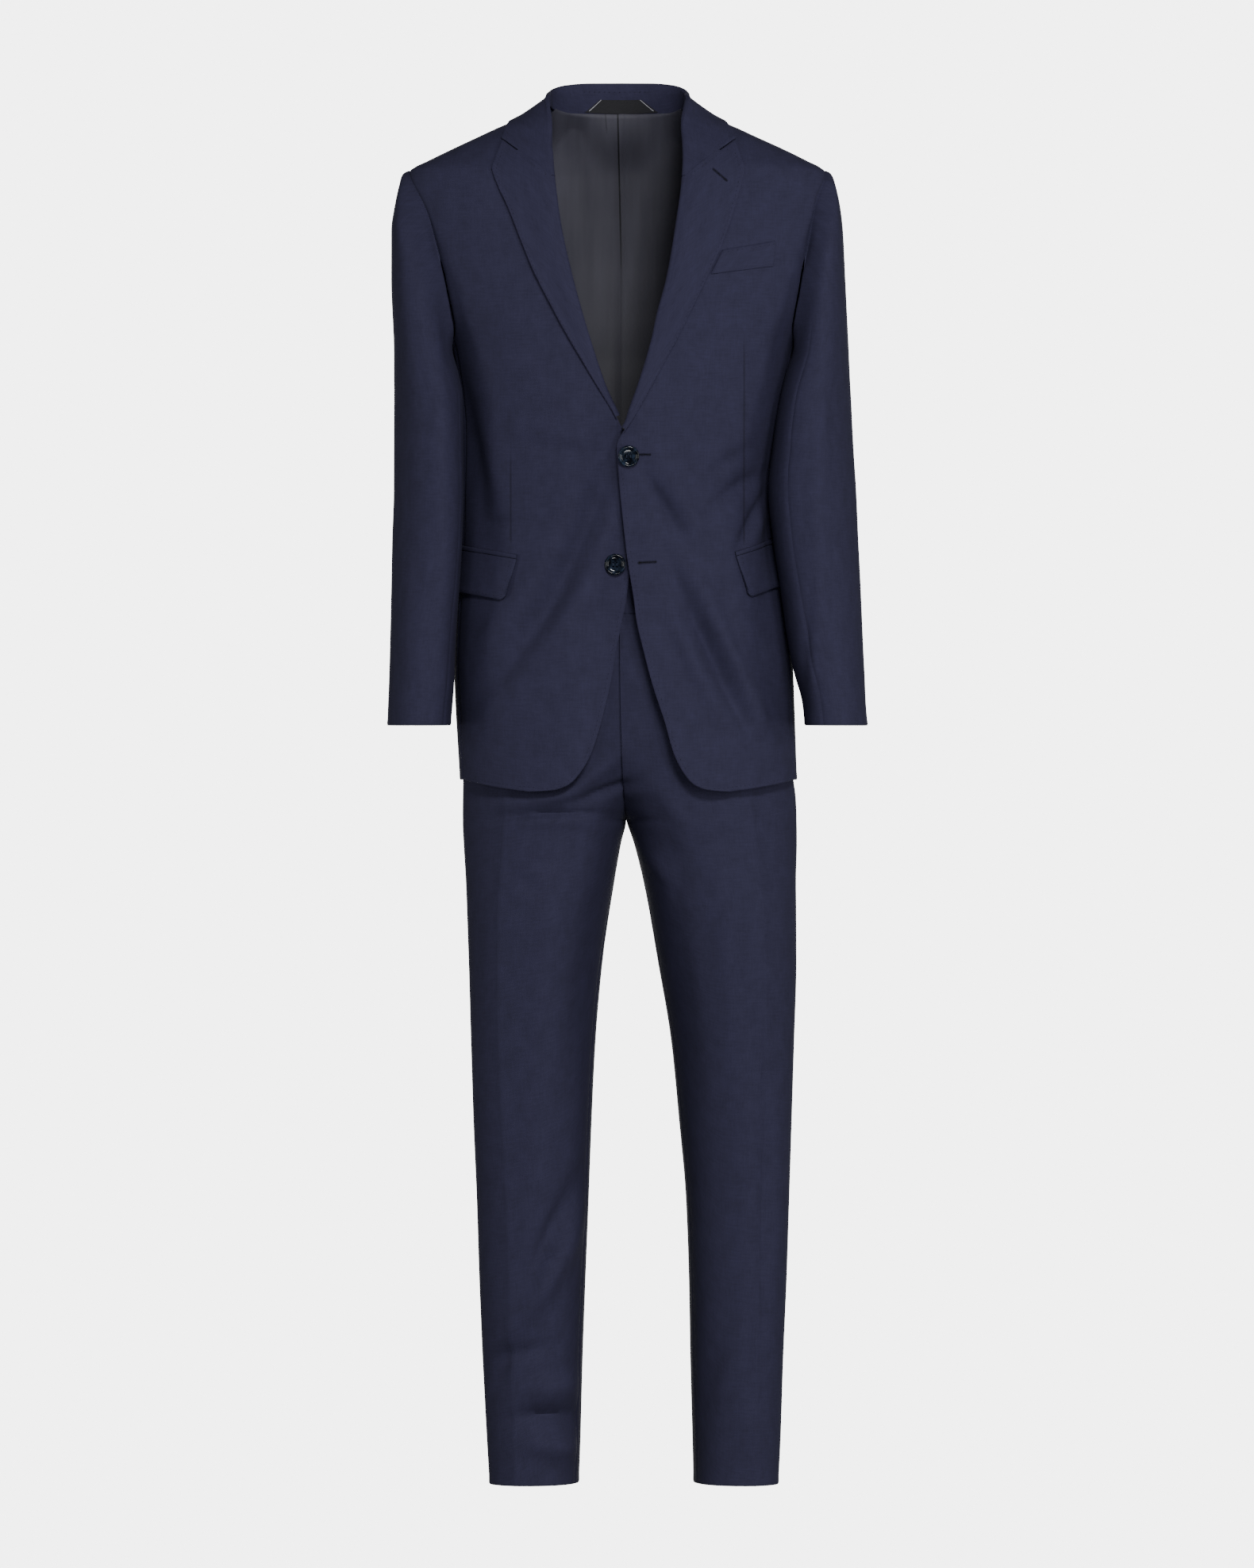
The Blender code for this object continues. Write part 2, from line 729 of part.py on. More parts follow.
def collar_row(side, row):
    """One section of the collar: up the stand, over the fold and down the fall."""
    at = dict(zip(COLLAR_COLUMNS, row))
    back = smooth((at["stand"] - 8) / 22)
    seam_z = at["seam_z"]
    if at["seam_angle"] is None:
        seam_angle = front_angle(side, front_edge[side](seam_z), seam_z)
    else:
        seam_angle = math.radians(at["seam_angle"])
    edge, normal = on_jacket(side, seam_angle, seam_z)
    if at["seam_angle"] is None:
        lower, _ = on_front(side, front_edge[side](seam_z - 4), seam_z - 4)
        beyond = unit(np.cross(unit(lower - edge), normal)) * SIDES[side]
        lean = smooth((seam_z + 30) / 38)
    else:
        beyond = np.array([0.0, 0.0, 1.0])
        lean = 1.0
    inward = -COLLAR_LEAN_IN * SIDES[side] * (1 - back)
    upright = unit(np.array([inward, -COLLAR_LEAN_FORWARD, 1.0]))
    beyond = unit(beyond * (1 - lean) + upright * lean)
    normal = unit(normal - beyond * float(normal @ beyond))
    out = mix(ROLL_RADIUS, COLLAR_BACK_RADIUS, back)
    turns = [math.radians(mix(135, 176, back) * t) for t in (1, 0.75, 0.5, 0.25)]
    points, ways = rolled(edge, normal, beyond, turns, out, at["stand"] - ROLL_RADIUS)
    fall_angle, fall_z = math.radians(at["fall_angle"]), at["fall_z"]
    seam_x = abs(torso_point(side, seam_angle, seam_z)[0])
    fall_x = abs(torso_point(side, fall_angle, fall_z)[0])
    lying = LYING_GAP + CLOTH
    for share in (0.0, 0.34, 0.67, 1.0):
        z = mix(seam_z, fall_z, share)
        stand_off = mix(out - CLOTH / 2, lying, share) + 0.8 * math.sin(math.pi * share)
        if at["seam_angle"] is None:
            point, way = on_front(side, mix(seam_x, fall_x, share), z, stand_off)
        else:
            angle = mix(seam_angle, fall_angle, share)
            point, way = on_jacket(side, angle, z, stand_off)
        points.append(point)
        ways.append(way)
    return points, ways


def collar_rows():
    """Sections from the right gorge round the back of the neck to the left gorge."""
    right = [collar_row("right", row) for row in COLLAR]
    left = [collar_row("left", row) for row in COLLAR[:-1]]
    return right + left[::-1]


def add_collar(material):
    rows = collar_rows()
    wall("collar", [row[0] for row in rows], [row[1] for row in rows], material)


# ---- Pockets ---------------------------------------------------------------------------


def pocket_line(side, share):
    """The (angle, z) along the pocket's mouth, from its front end round to the back."""
    front_x, front_z, rise = POCKET_FRONT_END[side]
    start = front_angle(side, front_x, front_z)
    angle = mix(start, FLAP_BACK_ANGLE, share)
    return angle, front_z + rise * (1 - (1 - share) ** 2)


def pocket_strip(name, side, shares, drops, outs, material, corner=0.0, slant=0.0):
    """A strip along the pocket: each row lies a drop below the mouth and stands out."""
    points, normals = [], []
    for drop, out in zip(drops, outs):
        row, ways = [], []
        for share in shares:
            angle, z = pocket_line(side, share)
            ends = min(share, 1 - share) * FLAP_LENGTH
            round_off = max(corner - ends, 0.0)
            lift = corner - math.sqrt(max(corner**2 - round_off**2, 0.0))
            depth = drop - lift * smooth(drop / FLAP_HEIGHT)
            shift = slant * (drop / FLAP_HEIGHT) * (1 - share)
            point, way = on_jacket(side, angle + shift, z - depth, out)
            row.append(point)
            ways.append(way)
        points.append(row)
        normals.append(ways)
    wall(name, points, normals, material, FLAP_CLOTH)


def add_pockets(side, material):
    ends = (0.0, 0.03, 0.08, 0.2, 0.36, 0.52, 0.68, 0.82, 0.92, 0.97, 1.0)
    pocket_strip(
        "flap_" + side, side, ends, (0.0, 12.0, 30.0, FLAP_HEIGHT), (2.8, 3.4, 3.8, 3.9),
        material, corner=FLAP_CORNER, slant=FLAP_SLANT,
    )
    even = np.linspace(0, 1, 9)
    pocket_strip(
        "pocket_jet_" + side, side, even, (-JET_HEIGHT - 0.6, -0.6), (2.4, 2.8), material
    )


def add_chest_welt(material):
    """The left breast pocket's welt, from the lapel's edge outwards."""
    inner, outer = np.array(WELT_INNER_END), np.array(WELT_OUTER_END)
    points, normals = [], []
    for t in (0.0, 0.5, 1.0):
        start, end = mix(inner[0], inner[1], t), mix(outer[0], outer[1], t)
        row = [
            on_front("left", *mix(start, end, s), WELT_HEIGHT_OUT)
            for s in np.linspace(0, 1, 6)
        ]
        points.append([point for point, _ in row])
        normals.append([normal for _, normal in row])
    wall("chest_welt", points, normals, material, FLAP_CLOTH)


# ---- Back lining and label -------------------------------------------------------------


def add_back_lining(side, material):
    """The lining inside a back, with the centre pleat lapped left over right."""
    points, normals = [], []
    for place in LINING_ROWS:
        at = dict(zip(LINING_COLUMNS, place))
        outer = math.radians(at["outer_angle"])
        start, end = (outer, at["outer_z"]), (math.radians(90), at["z"])
        row, ways = even_row(side, start, end, 8, -LINING_DEPTH)
        if side == "left":
            row[-1] = row[-1] - np.array([0.0, PLEAT_LIFT, 0.0])
            row.append(row[-1] - np.array([PLEAT_LAP, 0.0, 0.0]))
            ways.append(ways[-1])
        else:
            row[-1] = row[-1] - np.array([2 * SEAM_BACK_OFF, 0.0, 0.0])
        points.append(row)
        normals.append(ways)
    wall("back_lining_" + side, points, normals, material, -LINING_CLOTH)


def add_neck_label(material):
    """A bare label with slanting ends on the inside of the collar stand."""
    rows = collar_rows()
    middle = len(COLLAR) - 1
    lower, upper = [], []
    for i in range(middle - 2, middle + 3):
        stand, ways = rows[i]
        lower.append((np.array(stand[0]), ways[0]))
        upper.append((np.array(stand[1]), ways[1]))
    low_x = [float(point[0]) for point, _ in lower]
    points, normals = [], []
    for place in LABEL_ROWS:
        at = dict(zip(LABEL_COLUMNS, place))
        row, ways = [], []
        for t in np.linspace(0, 1, 7):
            x = mix(at["start"], at["end"], t)
            bottom = interpolated(low_x, [p for p, _ in lower], x)
            top = interpolated(low_x, [p for p, _ in upper], x)
            way = unit(interpolated(low_x, [w for _, w in lower], x))
            row.append(mix(bottom, top, at["height"]) + way * LABEL_STAND_OFF)
            ways.append(way)
        points.append(row)
        normals.append(ways)
    wall("neck_label", points, normals, material, LABEL_CLOTH)


def interpolated(places, values, at):
    values = np.array(values)
    order = np.argsort(places)
    places = np.array(places)[order]
    return np.array([np.interp(at, places, values[order, i]) for i in range(3)])


# ---- Sleeves ---------------------------------------------------------------------------


def armhole_loop(side):
    """The armhole from the shoulder down its front, under the arm and up its back."""
    loop = [(0.0, SHOULDER_HEIGHTS[-1])]
    loop += [(armhole_angle("front", z), z) for z in armhole_heights()]
    loop += [(angle, underarm_height(angle)) for angle in side_angles()]
    loop += [(armhole_angle("back", z), z) for z in reversed(armhole_heights())]
    return loop


def round_armhole(point):
    """The angle round the armhole: 0 at the shoulder, 90 in front, 180 under the arm."""
    low = SIDE_SEAM_HEIGHTS[0] - ARMPIT_DROP
    centre = (SHOULDER_HEIGHTS[-1] + low) / 2
    half = (SHOULDER_HEIGHTS[-1] - low) / 2
    angle = math.atan2(-point[1] / ARMHOLE_HALF_DEPTH, (point[2] - centre) / half)
    return angle % (2 * math.pi)


def sleeve_section(side, turn, z):
    """The sleeve's point at this angle round it and this height."""
    at = {name: curve(z) for name, curve in sleeves[side].items()}
    half_x, half_y = (at["outer"] - at["inner"]) / 2, (at["front"] + at["back"]) / 2
    twist = math.radians(at["turn"])
    power = 2 / SLEEVE_POWER
    local_x = half_x * signed_power(math.cos(turn), power)
    local_y = -half_y * signed_power(math.sin(turn), power)
    x = local_x * math.cos(twist) + local_y * math.sin(twist)
    y = local_y * math.cos(twist) - local_x * math.sin(twist)
    widest = math.hypot(half_x * math.cos(twist), half_y * math.sin(twist))
    x *= half_x / widest
    middle_x, middle_y = (at["outer"] + at["inner"]) / 2, (at["back"] - at["front"]) / 2
    return np.array([SIDES[side] * (middle_x + x), middle_y + y, z])


def jacket_distance(point):
    """Roughly how far a point stands off the jacket's surface."""
    x, y, z = point
    reach = torso_reach(x, y, z) ** (1 / SECTION_POWER)
    return (1 - 1 / reach) * math.hypot(x, y)


def push_off_jacket(point, normal):
    """The move that keeps a sleeve's wall off the cloth of the jacket's panels."""
    x, y, z = point
    if z > SIDE_SEAM_HEIGHTS[0]:
        opening = armhole["front" if y < 0 else "back"](z)
        if abs(y) < opening - 2:
            return np.zeros(3)
    inside = point - normal * CLOTH
    near = min(jacket_distance(point), jacket_distance(inside))
    return torso_normal(x, y, z) * max(SLEEVE_CLEARANCE - near, 0.0)


def sleeve_grid(side):
    """Rows from the armhole to the cuff, each a closed ring, with outward directions."""
    loop = armhole_loop(side)
    starts = [on_jacket(side, angle, z) for angle, z in loop]
    turns = [round_armhole(point) for point, _ in starts]
    turns[0] = 0.0
    points = []
    for j in range(SLEEVE_ROWS + 1):
        share = (j / SLEEVE_ROWS) ** SLEEVE_ROW_CROWDING
        hold = math.exp(-((j / ARMHOLE_BLEND_ROWS) ** 2))
        ring = []
        for (start, _), turn in zip(starts, turns):
            z = mix(start[2], CUFF, share)
            offset = start - sleeve_section(side, turn, start[2])
            ring.append(sleeve_section(side, turn, z) + offset * hold)
        points.append(ring)
    points = np.array(points)
    for _ in range(2):
        normals = grid_normals(points, wrap=True) * SIDES[side]
        for j in range(1, SLEEVE_ROWS + 1):
            for i in range(len(loop)):
                points[j, i] += push_off_jacket(points[j, i], normals[j, i])
    normals = grid_normals(points, wrap=True) * SIDES[side]
    for i, (_, normal) in enumerate(starts):
        under = smooth((UNDERARM_TOP - points[0, i, 2]) / UNDERARM_BLEND)
        normals[0, i] = unit(mix(normal, normals[1, i], under))
        step = unit(points[1, i] - points[0, i])
        points[0, i] += step * 2 * SEAM_BACK_OFF * (1 - under)
        points[0, i] += push_off_jacket(points[0, i], normals[0, i]) * under
    return points, normals, loop


def add_sleeve(side, material):
    points, normals, loop = sleeve_grid(side)
    heights = [z for _, z in loop]
    half = len(loop) // 2
    front_seam = heights[:half].index(FRONT_ARM_SEAM_HEIGHT[side])
    back_seam = half + heights[half:].index(BACK_ARM_SEAM_HEIGHT)
    top = list(range(back_seam, len(loop))) + list(range(0, front_seam + 1))
    under = list(range(front_seam, back_seam + 1))
    for name, columns in (("sleeve_top_", top), ("sleeve_under_", under)):
        piece = back_off(points[:, columns], ["first", "last"])
        wall(name + side, piece, normals[:, columns], material)


# ---- Trousers --------------------------------------------------------------------------


def leg_point(side, face, step, z):
    """A trouser point: step 0 is the outer seam, 0.5 the crease, 1 the inner edge."""
    at = {name: curve(z) for name, curve in legs[side].items()}
    sign = SIDES[side]
    face_sign = -1 if face == "front" else 1
    seam = centre_seam(z)
    inner = at["inner"] if z < CROTCH else seam
    half = abs(at["outer"] - inner) / 2
    crease = math.radians(at["crease"] if face == "front" else 180 - at["crease"] * 1.08)
    if face == "back" and z > -900:
        crease = mix(crease, math.radians(75), smooth((z + 900) / 130))
    low, high = (0.0, crease) if step < 0.5 else (crease, math.pi)
    turn = mix(low, high, step * 2 if step < 0.5 else step * 2 - 1)
    power = 2 / LEG_POWER
    local_x = half * signed_power(math.cos(turn), power)
    local_y = face_sign * at[face] * math.sin(turn) ** power
    twist = math.radians(at["turn"])
    x = local_x * math.cos(twist) - local_y * math.sin(twist)
    y = local_y * math.cos(twist) + local_x * math.sin(twist)
    deep = (at["front"] + at["back"]) / 2
    widest = math.hypot(half * math.cos(twist), deep * math.sin(twist))
    x *= half / widest
    leg = np.array([(at["outer"] + inner) / 2 + sign * x, y, z])
    quarter = step * math.pi / 2
    hip_x = seam + (at["outer"] - seam) * math.cos(quarter) ** power
    hip = np.array([hip_x, face_sign * at[face] * math.sin(quarter) ** power, z])
    if z <= CROTCH and step >= 1:
        return leg
    rise = FRONT_RISE_CURVE if face == "front" else BACK_RISE_CURVE
    climb = min(max((z - CROTCH) / rise, 0.0), 1.0)
    sudden = math.sqrt(1 - (1 - climb) ** 2)
    slow = smooth((z - CROTCH + 120) / (rise / 2 + 120))
    share = mix(slow, sudden, step**3)
    point = mix(leg, hip, share)
    if step >= 1:
        point[0] = seam
    return point


def leg_grid(side):
    """Columns from the back's inner edge round the outer seam to the front's."""
    points = []
    for z in LEG_HEIGHTS:
        row = [leg_point(side, "back", step, z) for step in reversed(LEG_STEPS)]
        row += [leg_point(side, "front", step, z) for step in LEG_STEPS[1:]]
        points.append(row)
    points = np.array(points)
    normals = grid_normals(points) * SIDES[side]
    for r, z in enumerate(LEG_HEIGHTS):
        if z <= CROTCH:
            seam = normals[r, 0] + normals[r, -1]
            seam = unit(np.array([seam[0], seam[1], 0.0]))
            if z == CROTCH:
                seam = np.array([0.0, 0.0, -1.0])
            normals[r, 0] = normals[r, -1] = seam
        else:
            for c in (0, -1):
                normals[r, c, 0] = 0.0
                normals[r, c] = unit(normals[r, c])
    middle = len(LEG_STEPS) - 1
    crease = LEG_STEPS.index(0.5)
    for column in (middle - crease, middle + crease):
        for r, z in enumerate(LEG_HEIGHTS):
            ridge = CREASE_RIDGE * smooth((-z - 600) / 120)
            points[r, column] += normals[r, column] * ridge
    return points, normals


def add_leg(side, material):
    points, normals = leg_grid(side)
    middle = len(LEG_STEPS) - 1
    for face, columns in (
        ("front", slice(middle, None)),
        ("back", slice(0, middle + 1)),
    ):
        piece = back_off(points[:, columns], ["first", "last"])
        wall("trouser_%s_%s" % (face, side), piece, normals[:, columns], material)


def add_waistband(side, material):
    points = []
    for z in (WAIST_TOP, WAIST_TOP - WAISTBAND_HEIGHT / 2, WAIST_TOP - WAISTBAND_HEIGHT):
        steps = (0.0, 0.12, 0.25, 0.4, 0.55, 0.7, 0.85, 1.0)
        row = [leg_point(side, "back", step, z) for step in reversed(steps)]
        row += [leg_point(side, "front", step, z) for step in steps[1:]]
        points.append(row)
    points = np.array(points)
    normals = grid_normals(points) * SIDES[side]
    normals[:, 0, 0] = normals[:, -1, 0] = 0.0
    points = back_off(points, ["first", "last"])
    wall("waistband_" + side, points, normals, material)


# ---- Buttons ---------------------------------------------------------------------------


def add_button(name, side, across, z, material):
    """A four-hole button with a raised rim, lying on a front."""
    radius, thick = BUTTON_DIAMETER / 2, BUTTON_THICKNESS
    profile = (
        (0.0, 0.0), (radius * 0.72, 0.0), (radius * 0.95, thick * 0.35),
        (radius, thick * 0.65), (radius * 0.93, thick), (radius * 0.80, thick * 0.95),
        (radius * 0.68, thick * 0.66), (0.0, thick * 0.62),
    )
    sides = BUTTON_SIDES
    shape = bmesh.new()
    rings = []
    for reach, height in profile:
        if reach == 0:
            rings.append([shape.verts.new((0, 0, height * MM))])
            continue
        rings.append([
            shape.verts.new((
                reach * MM * math.cos(2 * math.pi * i / sides),
                reach * MM * math.sin(2 * math.pi * i / sides),
                height * MM,
            ))
            for i in range(sides)
        ])
    for lower, upper in zip(rings, rings[1:]):
        for i in range(sides):
            j = (i + 1) % sides
            corners = [lower[i % len(lower)], lower[j % len(lower)]]
            corners += [upper[j % len(upper)], upper[i % len(upper)]]
            shape.faces.new(list(dict.fromkeys(corners)))
    bmesh.ops.recalc_face_normals(shape, faces=shape.faces)
    mesh = bpy.data.meshes.new(name)
    shape.to_mesh(mesh)
    shape.free()
    mesh.shade_smooth()
    mesh.set_sharp_from_angle(angle=math.radians(40))
    mesh.materials.append(material)
    button = bpy.data.objects.new(name, mesh)
    bpy.context.scene.collection.objects.link(button)
    point, normal = on_front(side, across, z, BUTTON_STAND_OFF)
    up = unit(np.array([0.0, 0.0, 1.0]) - normal * normal[2])
    across_way = np.cross(up, normal)
    turned = np.eye(4)
    turned[:3, 0], turned[:3, 1], turned[:3, 2] = across_way, up, normal
    turned[:3, 3] = point * MM
    button.matrix_world = Matrix(turned.tolist())
    for i in range(4):
        angle = math.pi / 4 + i * math.pi / 2
        reach = BUTTON_HOLE_SPACING / math.sqrt(2) * MM
        bpy.ops.mesh.primitive_cylinder_add(
            vertices=8, radius=BUTTON_HOLE / 2 * MM, depth=4 * thick * MM,
            location=(reach * math.cos(angle), reach * math.sin(angle), 0),
        )
        drill = bpy.context.object
        drill.name = "%s_drill_%d" % (name, i)
        drill.parent = button
        drill.hide_render = True
        drill.display_type = "WIRE"
        cut = button.modifiers.new("hole_%d" % i, "BOOLEAN")
        cut.object = drill
        cut.operation = "DIFFERENCE"


# ---- The suit --------------------------------------------------------------------------


def finish(name, colour, roughness, metallic=0.0):
    material = bpy.data.materials.new(name)
    material.use_nodes = True
    shader = material.node_tree.nodes["Principled BSDF"]
    shader.inputs["Base Color"].default_value = (*colour, 1.0)
    shader.inputs["Roughness"].default_value = roughness
    shader.inputs["Metallic"].default_value = metallic
    material.diffuse_color = (*colour, 1.0)
    return material


def clear_scene():
    for old in list(bpy.data.objects):
        bpy.data.objects.remove(old, do_unlink=True)


def main():
    clear_scene()
    wool = finish("navy_wool", NAVY, 0.75)
    trouser_wool = finish("navy_trouser_wool", NAVY_DARK, 0.75)
    lining = finish("charcoal_lining", LINING_GREY, 0.4)
    label = finish("black_label", LABEL_BLACK, 0.6)
    horn = finish("navy_button", BUTTON_BLUE, 0.15)
    for side in SIDES:
        add_front(side, wool)
        add_side(side, wool)
        add_back(side, wool)
        add_lapel(side, wool)
        add_sleeve(side, wool)
        add_pockets(side, wool)
        add_back_lining(side, lining)
        add_leg(side, trouser_wool)
        add_waistband(side, trouser_wool)
    add_collar(wool)
    add_chest_welt(wool)
    add_neck_label(label)
    for name, (side, across, z) in BUTTONS.items():
        add_button(name, side, across, z, horn)


main()
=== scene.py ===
import math

import bpy
import numpy as np
from mathutils import Matrix, Vector


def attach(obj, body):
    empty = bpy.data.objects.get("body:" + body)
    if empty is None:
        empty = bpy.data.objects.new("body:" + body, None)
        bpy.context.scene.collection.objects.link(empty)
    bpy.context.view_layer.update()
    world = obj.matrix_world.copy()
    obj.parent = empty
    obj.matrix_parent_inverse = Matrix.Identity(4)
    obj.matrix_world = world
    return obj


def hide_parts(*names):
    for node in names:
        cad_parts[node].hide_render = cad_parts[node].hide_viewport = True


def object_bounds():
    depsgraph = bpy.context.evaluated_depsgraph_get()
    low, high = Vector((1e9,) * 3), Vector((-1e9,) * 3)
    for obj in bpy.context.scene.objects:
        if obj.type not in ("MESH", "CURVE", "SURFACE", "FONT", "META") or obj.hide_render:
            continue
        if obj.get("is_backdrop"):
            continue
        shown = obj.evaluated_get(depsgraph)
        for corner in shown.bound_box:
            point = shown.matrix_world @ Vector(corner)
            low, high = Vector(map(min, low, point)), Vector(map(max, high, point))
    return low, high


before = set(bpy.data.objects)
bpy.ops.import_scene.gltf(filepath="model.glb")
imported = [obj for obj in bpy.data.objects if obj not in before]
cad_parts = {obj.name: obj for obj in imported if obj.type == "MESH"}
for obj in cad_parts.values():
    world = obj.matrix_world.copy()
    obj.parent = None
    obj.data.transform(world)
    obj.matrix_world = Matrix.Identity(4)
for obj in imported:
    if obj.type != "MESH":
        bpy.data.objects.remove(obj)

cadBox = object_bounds()
mm = 0.001
sides = {"left": 1, "right": -1}  # the wearer's left is +X
print("frame loaded")


def linked(name, data):
    made = bpy.data.objects.new(name, data)
    bpy.context.scene.collection.objects.link(made)
    return made


# studio: camera, lights, floor and backdrop

studio = {
    "cameraDistance": 12.0,
    "aimX": 0.00433,
    "aimZ": -0.7296,
    "frameHeight": 1.71035,
    "floorZ": -1.72,
    "backdropY": 4.2,
    "backdropFront": 1.4,
    "backdropTop": 1.6,
    "backdropBend": 1.6,  # radius of the sweep from the floor up the wall
    "backdropHalf": 1.15,
    "backdropGlow": 5.2,
    "worldColour": (0.83, 0.83, 0.84),
    "worldStrength": 0.16,
    "lights": (  # place, aim, size, power
        ((0.9, -5.8, 2.3), (0.0, 0.0, -0.6), (1.5, 1.0), 372.0),
        ((0.5, -6.6, -2.5), (0.0, 0.0, -0.5), (1.4, 0.9), 125.0),
        ((2.9, -4.6, -0.3), (0.0, 0.0, -0.8), (1.2, 2.4), 120.0),
        ((-2.9, -4.6, -0.4), (0.0, 0.0, -0.9), (1.2, 2.4), 40.0),
        ((-4.8, -1.0, -0.4), (0.0, 0.0, -0.8), (1.0, 2.8), 85.0),
        ((4.8, -1.0, -0.4), (0.0, 0.0, -0.8), (1.0, 2.8), 90.0),
    ),
}

cameraData = bpy.data.cameras.new("camera")
cameraData.sensor_width = 36
cameraData.lens = 36 * studio["cameraDistance"] / studio["frameHeight"]
cameraData.clip_end = 60
camera = linked("camera", cameraData)
camera.location = (studio["aimX"], -studio["cameraDistance"], studio["aimZ"])
camera.rotation_euler = (math.radians(90), 0, 0)
bpy.context.scene.camera = camera


# numbers that vary smoothly through short tables

class Curve:
    # a smooth line through a table's rows that never swings past them
    def __init__(self, places, values):
        order = np.argsort(places)
        self.places = np.array(places, float)[order]
        self.values = np.array(values, float)[order]
        steps = np.diff(self.places)
        rises = np.diff(self.values) / steps
        self.slopes = np.zeros(len(self.places))
        self.slopes[0], self.slopes[-1] = rises[0], rises[-1]
        for i in range(1, len(rises)):
            if rises[i - 1] * rises[i] > 0:
                before = 2 * steps[i] + steps[i - 1]
                after = steps[i] + 2 * steps[i - 1]
                mean = before / rises[i - 1] + after / rises[i]
                self.slopes[i] = (before + after) / mean

    def __call__(self, place):
        place = np.clip(np.asarray(place, float), self.places[0], self.places[-1])
        i = np.searchsorted(self.places, place, side="right") - 1
        i = np.clip(i, 0, len(self.places) - 2)
        step = self.places[i + 1] - self.places[i]
        t = (place - self.places[i]) / step
        total = (1 + 2 * t) * (1 - t) ** 2 * self.values[i]
        total = total + t * (1 - t) ** 2 * step * self.slopes[i]
        total = total + t * t * (3 - 2 * t) * self.values[i + 1]
        return total + t * t * (t - 1) * step * self.slopes[i + 1]


def curves(columns, rows):
    places = [row[0] for row in rows]
    return {name: Curve(places, [row[1 + i] for row in rows]) for i, name in enumerate(columns[1:])}


def sideCurves(side, columns, rows):
    # one side's curves, without the rows that hold None for it
    place = 1 + ("right", "left").index(side)
    return curves(columns, [(row[0], *row[place], *row[3:]) for row in rows if row[place]])


def mixed(a, b, t):
    return a + (b - a) * t


def smooth(t):
    t = np.clip(t, 0.0, 1.0)
    return t * t * (3 - 2 * t)


def ramp(value, start, span):
    # rises from 0 at the start to 1 a span further on; pairs named Span, Low or Blend hold both
    return smooth((value - start) / span)


def unit(vector):
    return vector / np.maximum(np.linalg.norm(vector, axis=-1, keepdims=True), 1e-9)


def signedPower(value, power):
    return np.sign(value) * np.abs(value) ** power


def stacked(*parts):
    return np.stack(np.broadcast_arrays(*parts), axis=-1).astype(float)


def named(first, *words):
    return first + "".join(word.capitalize() for word in words)


# the jacket's form: a rounded section at each height, in millimetres

jacket = {
    "sectionPower": 2.3,
    "frontSideSeam": math.radians(-14),
    "backSideSeam": math.radians(25),
    "neckPointZ": 8.0,
    "shoulderTipZ": -60.0,
    "armpitZ": -246.0,
    "armpitDrop": 12.0,
    "armholeCrowding": 1.35,  # how much closer the rows lie at the shoulder
    "overlapLift": 5.0,
    "underlapDrop": 5.2,
    "overlapSpan": (8.0, 60.0),   # lift and drop die away from this far off the middle
    "overlapLow": (240.0, 80.0),  # and start this far down
    "cloth": 2.0,
    "lyingGap": 1.2,
    "seamGap": -0.05,  # pieces meet a hair past each other at a seam
    "wallThickness": 1.5,
}
torsoColumns = ("z", "right", "left", "front", "back")
torsoTable = (
    (8, 82.5, 71, 32, 52),
    (0, 98, 86.5, 40, 60),
    (-10, 127, 114.5, 49, 68),
    (-24, 158, 145.5, 58, 76),
    (-40, 192, 180.5, 68, 84),
    (-51, 214.5, 202.5, 74, 88.5),
    (-60, 231.5, 219, 79, 92),
    (-76, 236, 224, 86, 97),
    (-108, 231, 225, 98, 106),
    (-166, 221, 220, 113, 117),
    (-218, 204, 205, 121, 120),
    (-256, 188, 188, 125, 120),
    (-285, 184, 183, 127, 118),
    (-320, 181, 177, 127, 115),
    (-360, 179.5, 171, 125, 108),
    (-411, 178, 164.5, 121, 102),
    (-440, 177.5, 165.5, 119, 101),
    (-480, 178, 170, 119, 104),
    (-524, 181, 176.5, 122, 109),
    (-560, 183, 181, 125, 113),
    (-590, 184, 184.5, 127, 115),
    (-612, 184, 186, 128, 117),
    (-640, 183, 187, 130, 118),
    (-700, 179.5, 189, 132, 120),
    (-740, 177, 190.5, 133, 121),
)
armholeColumns = ("z", "front", "back")
armholeTable = (
    (-60, 0, 0),
    (-66, 14, 16),
    (-76, 26.5, 31),
    (-90, 37, 46),
    (-108, 45.5, 58),
    (-130, 52.5, 67),
    (-154, 58, 74),
    (-180, 62, 79),
    (-205, 61, 79),
    (-225, 58, 74),
    (-238, 50, 67),
    (-246, 37.4, 57.7),
)
# the front edges, each measured towards its own side: roll line, lap and cutaway
frontEdgeColumns = ("z", "left", "right")
frontEdgeTable = (
    (8, 71.2, 83.2),
    (3, 70.8, 83.8),
    (-7, 70, 84),
    (-30, 69.5, 82.5),
    (-50, 69, 80),
    (-75, 67.5, 77.5),
    (-124, 61, 71),
    (-185, 50.5, 57.5),
    (-220, 41, 48),
    (-252, 34, 38.5),
    (-303, 18.5, 21.3),
    (-325, 10.5, 11),
    (-340, 5.5, 4),
    (-352, -1.5, -3),
    (-365, -6.8, -6),
    (-382, -6, -8),
    (-421, -2.5, -9),
    (-484, 4.3, -8),
    (-534, 12, -3),
    (-552, 14.2, 0.8),
    (-587, 22.3, 7.5),
    (-620, 30.9, 13.5),
    (-664, 45.5, 24),
)
cutawayColumns = ("place", "sideZ", "edgeZ", "left", "right")
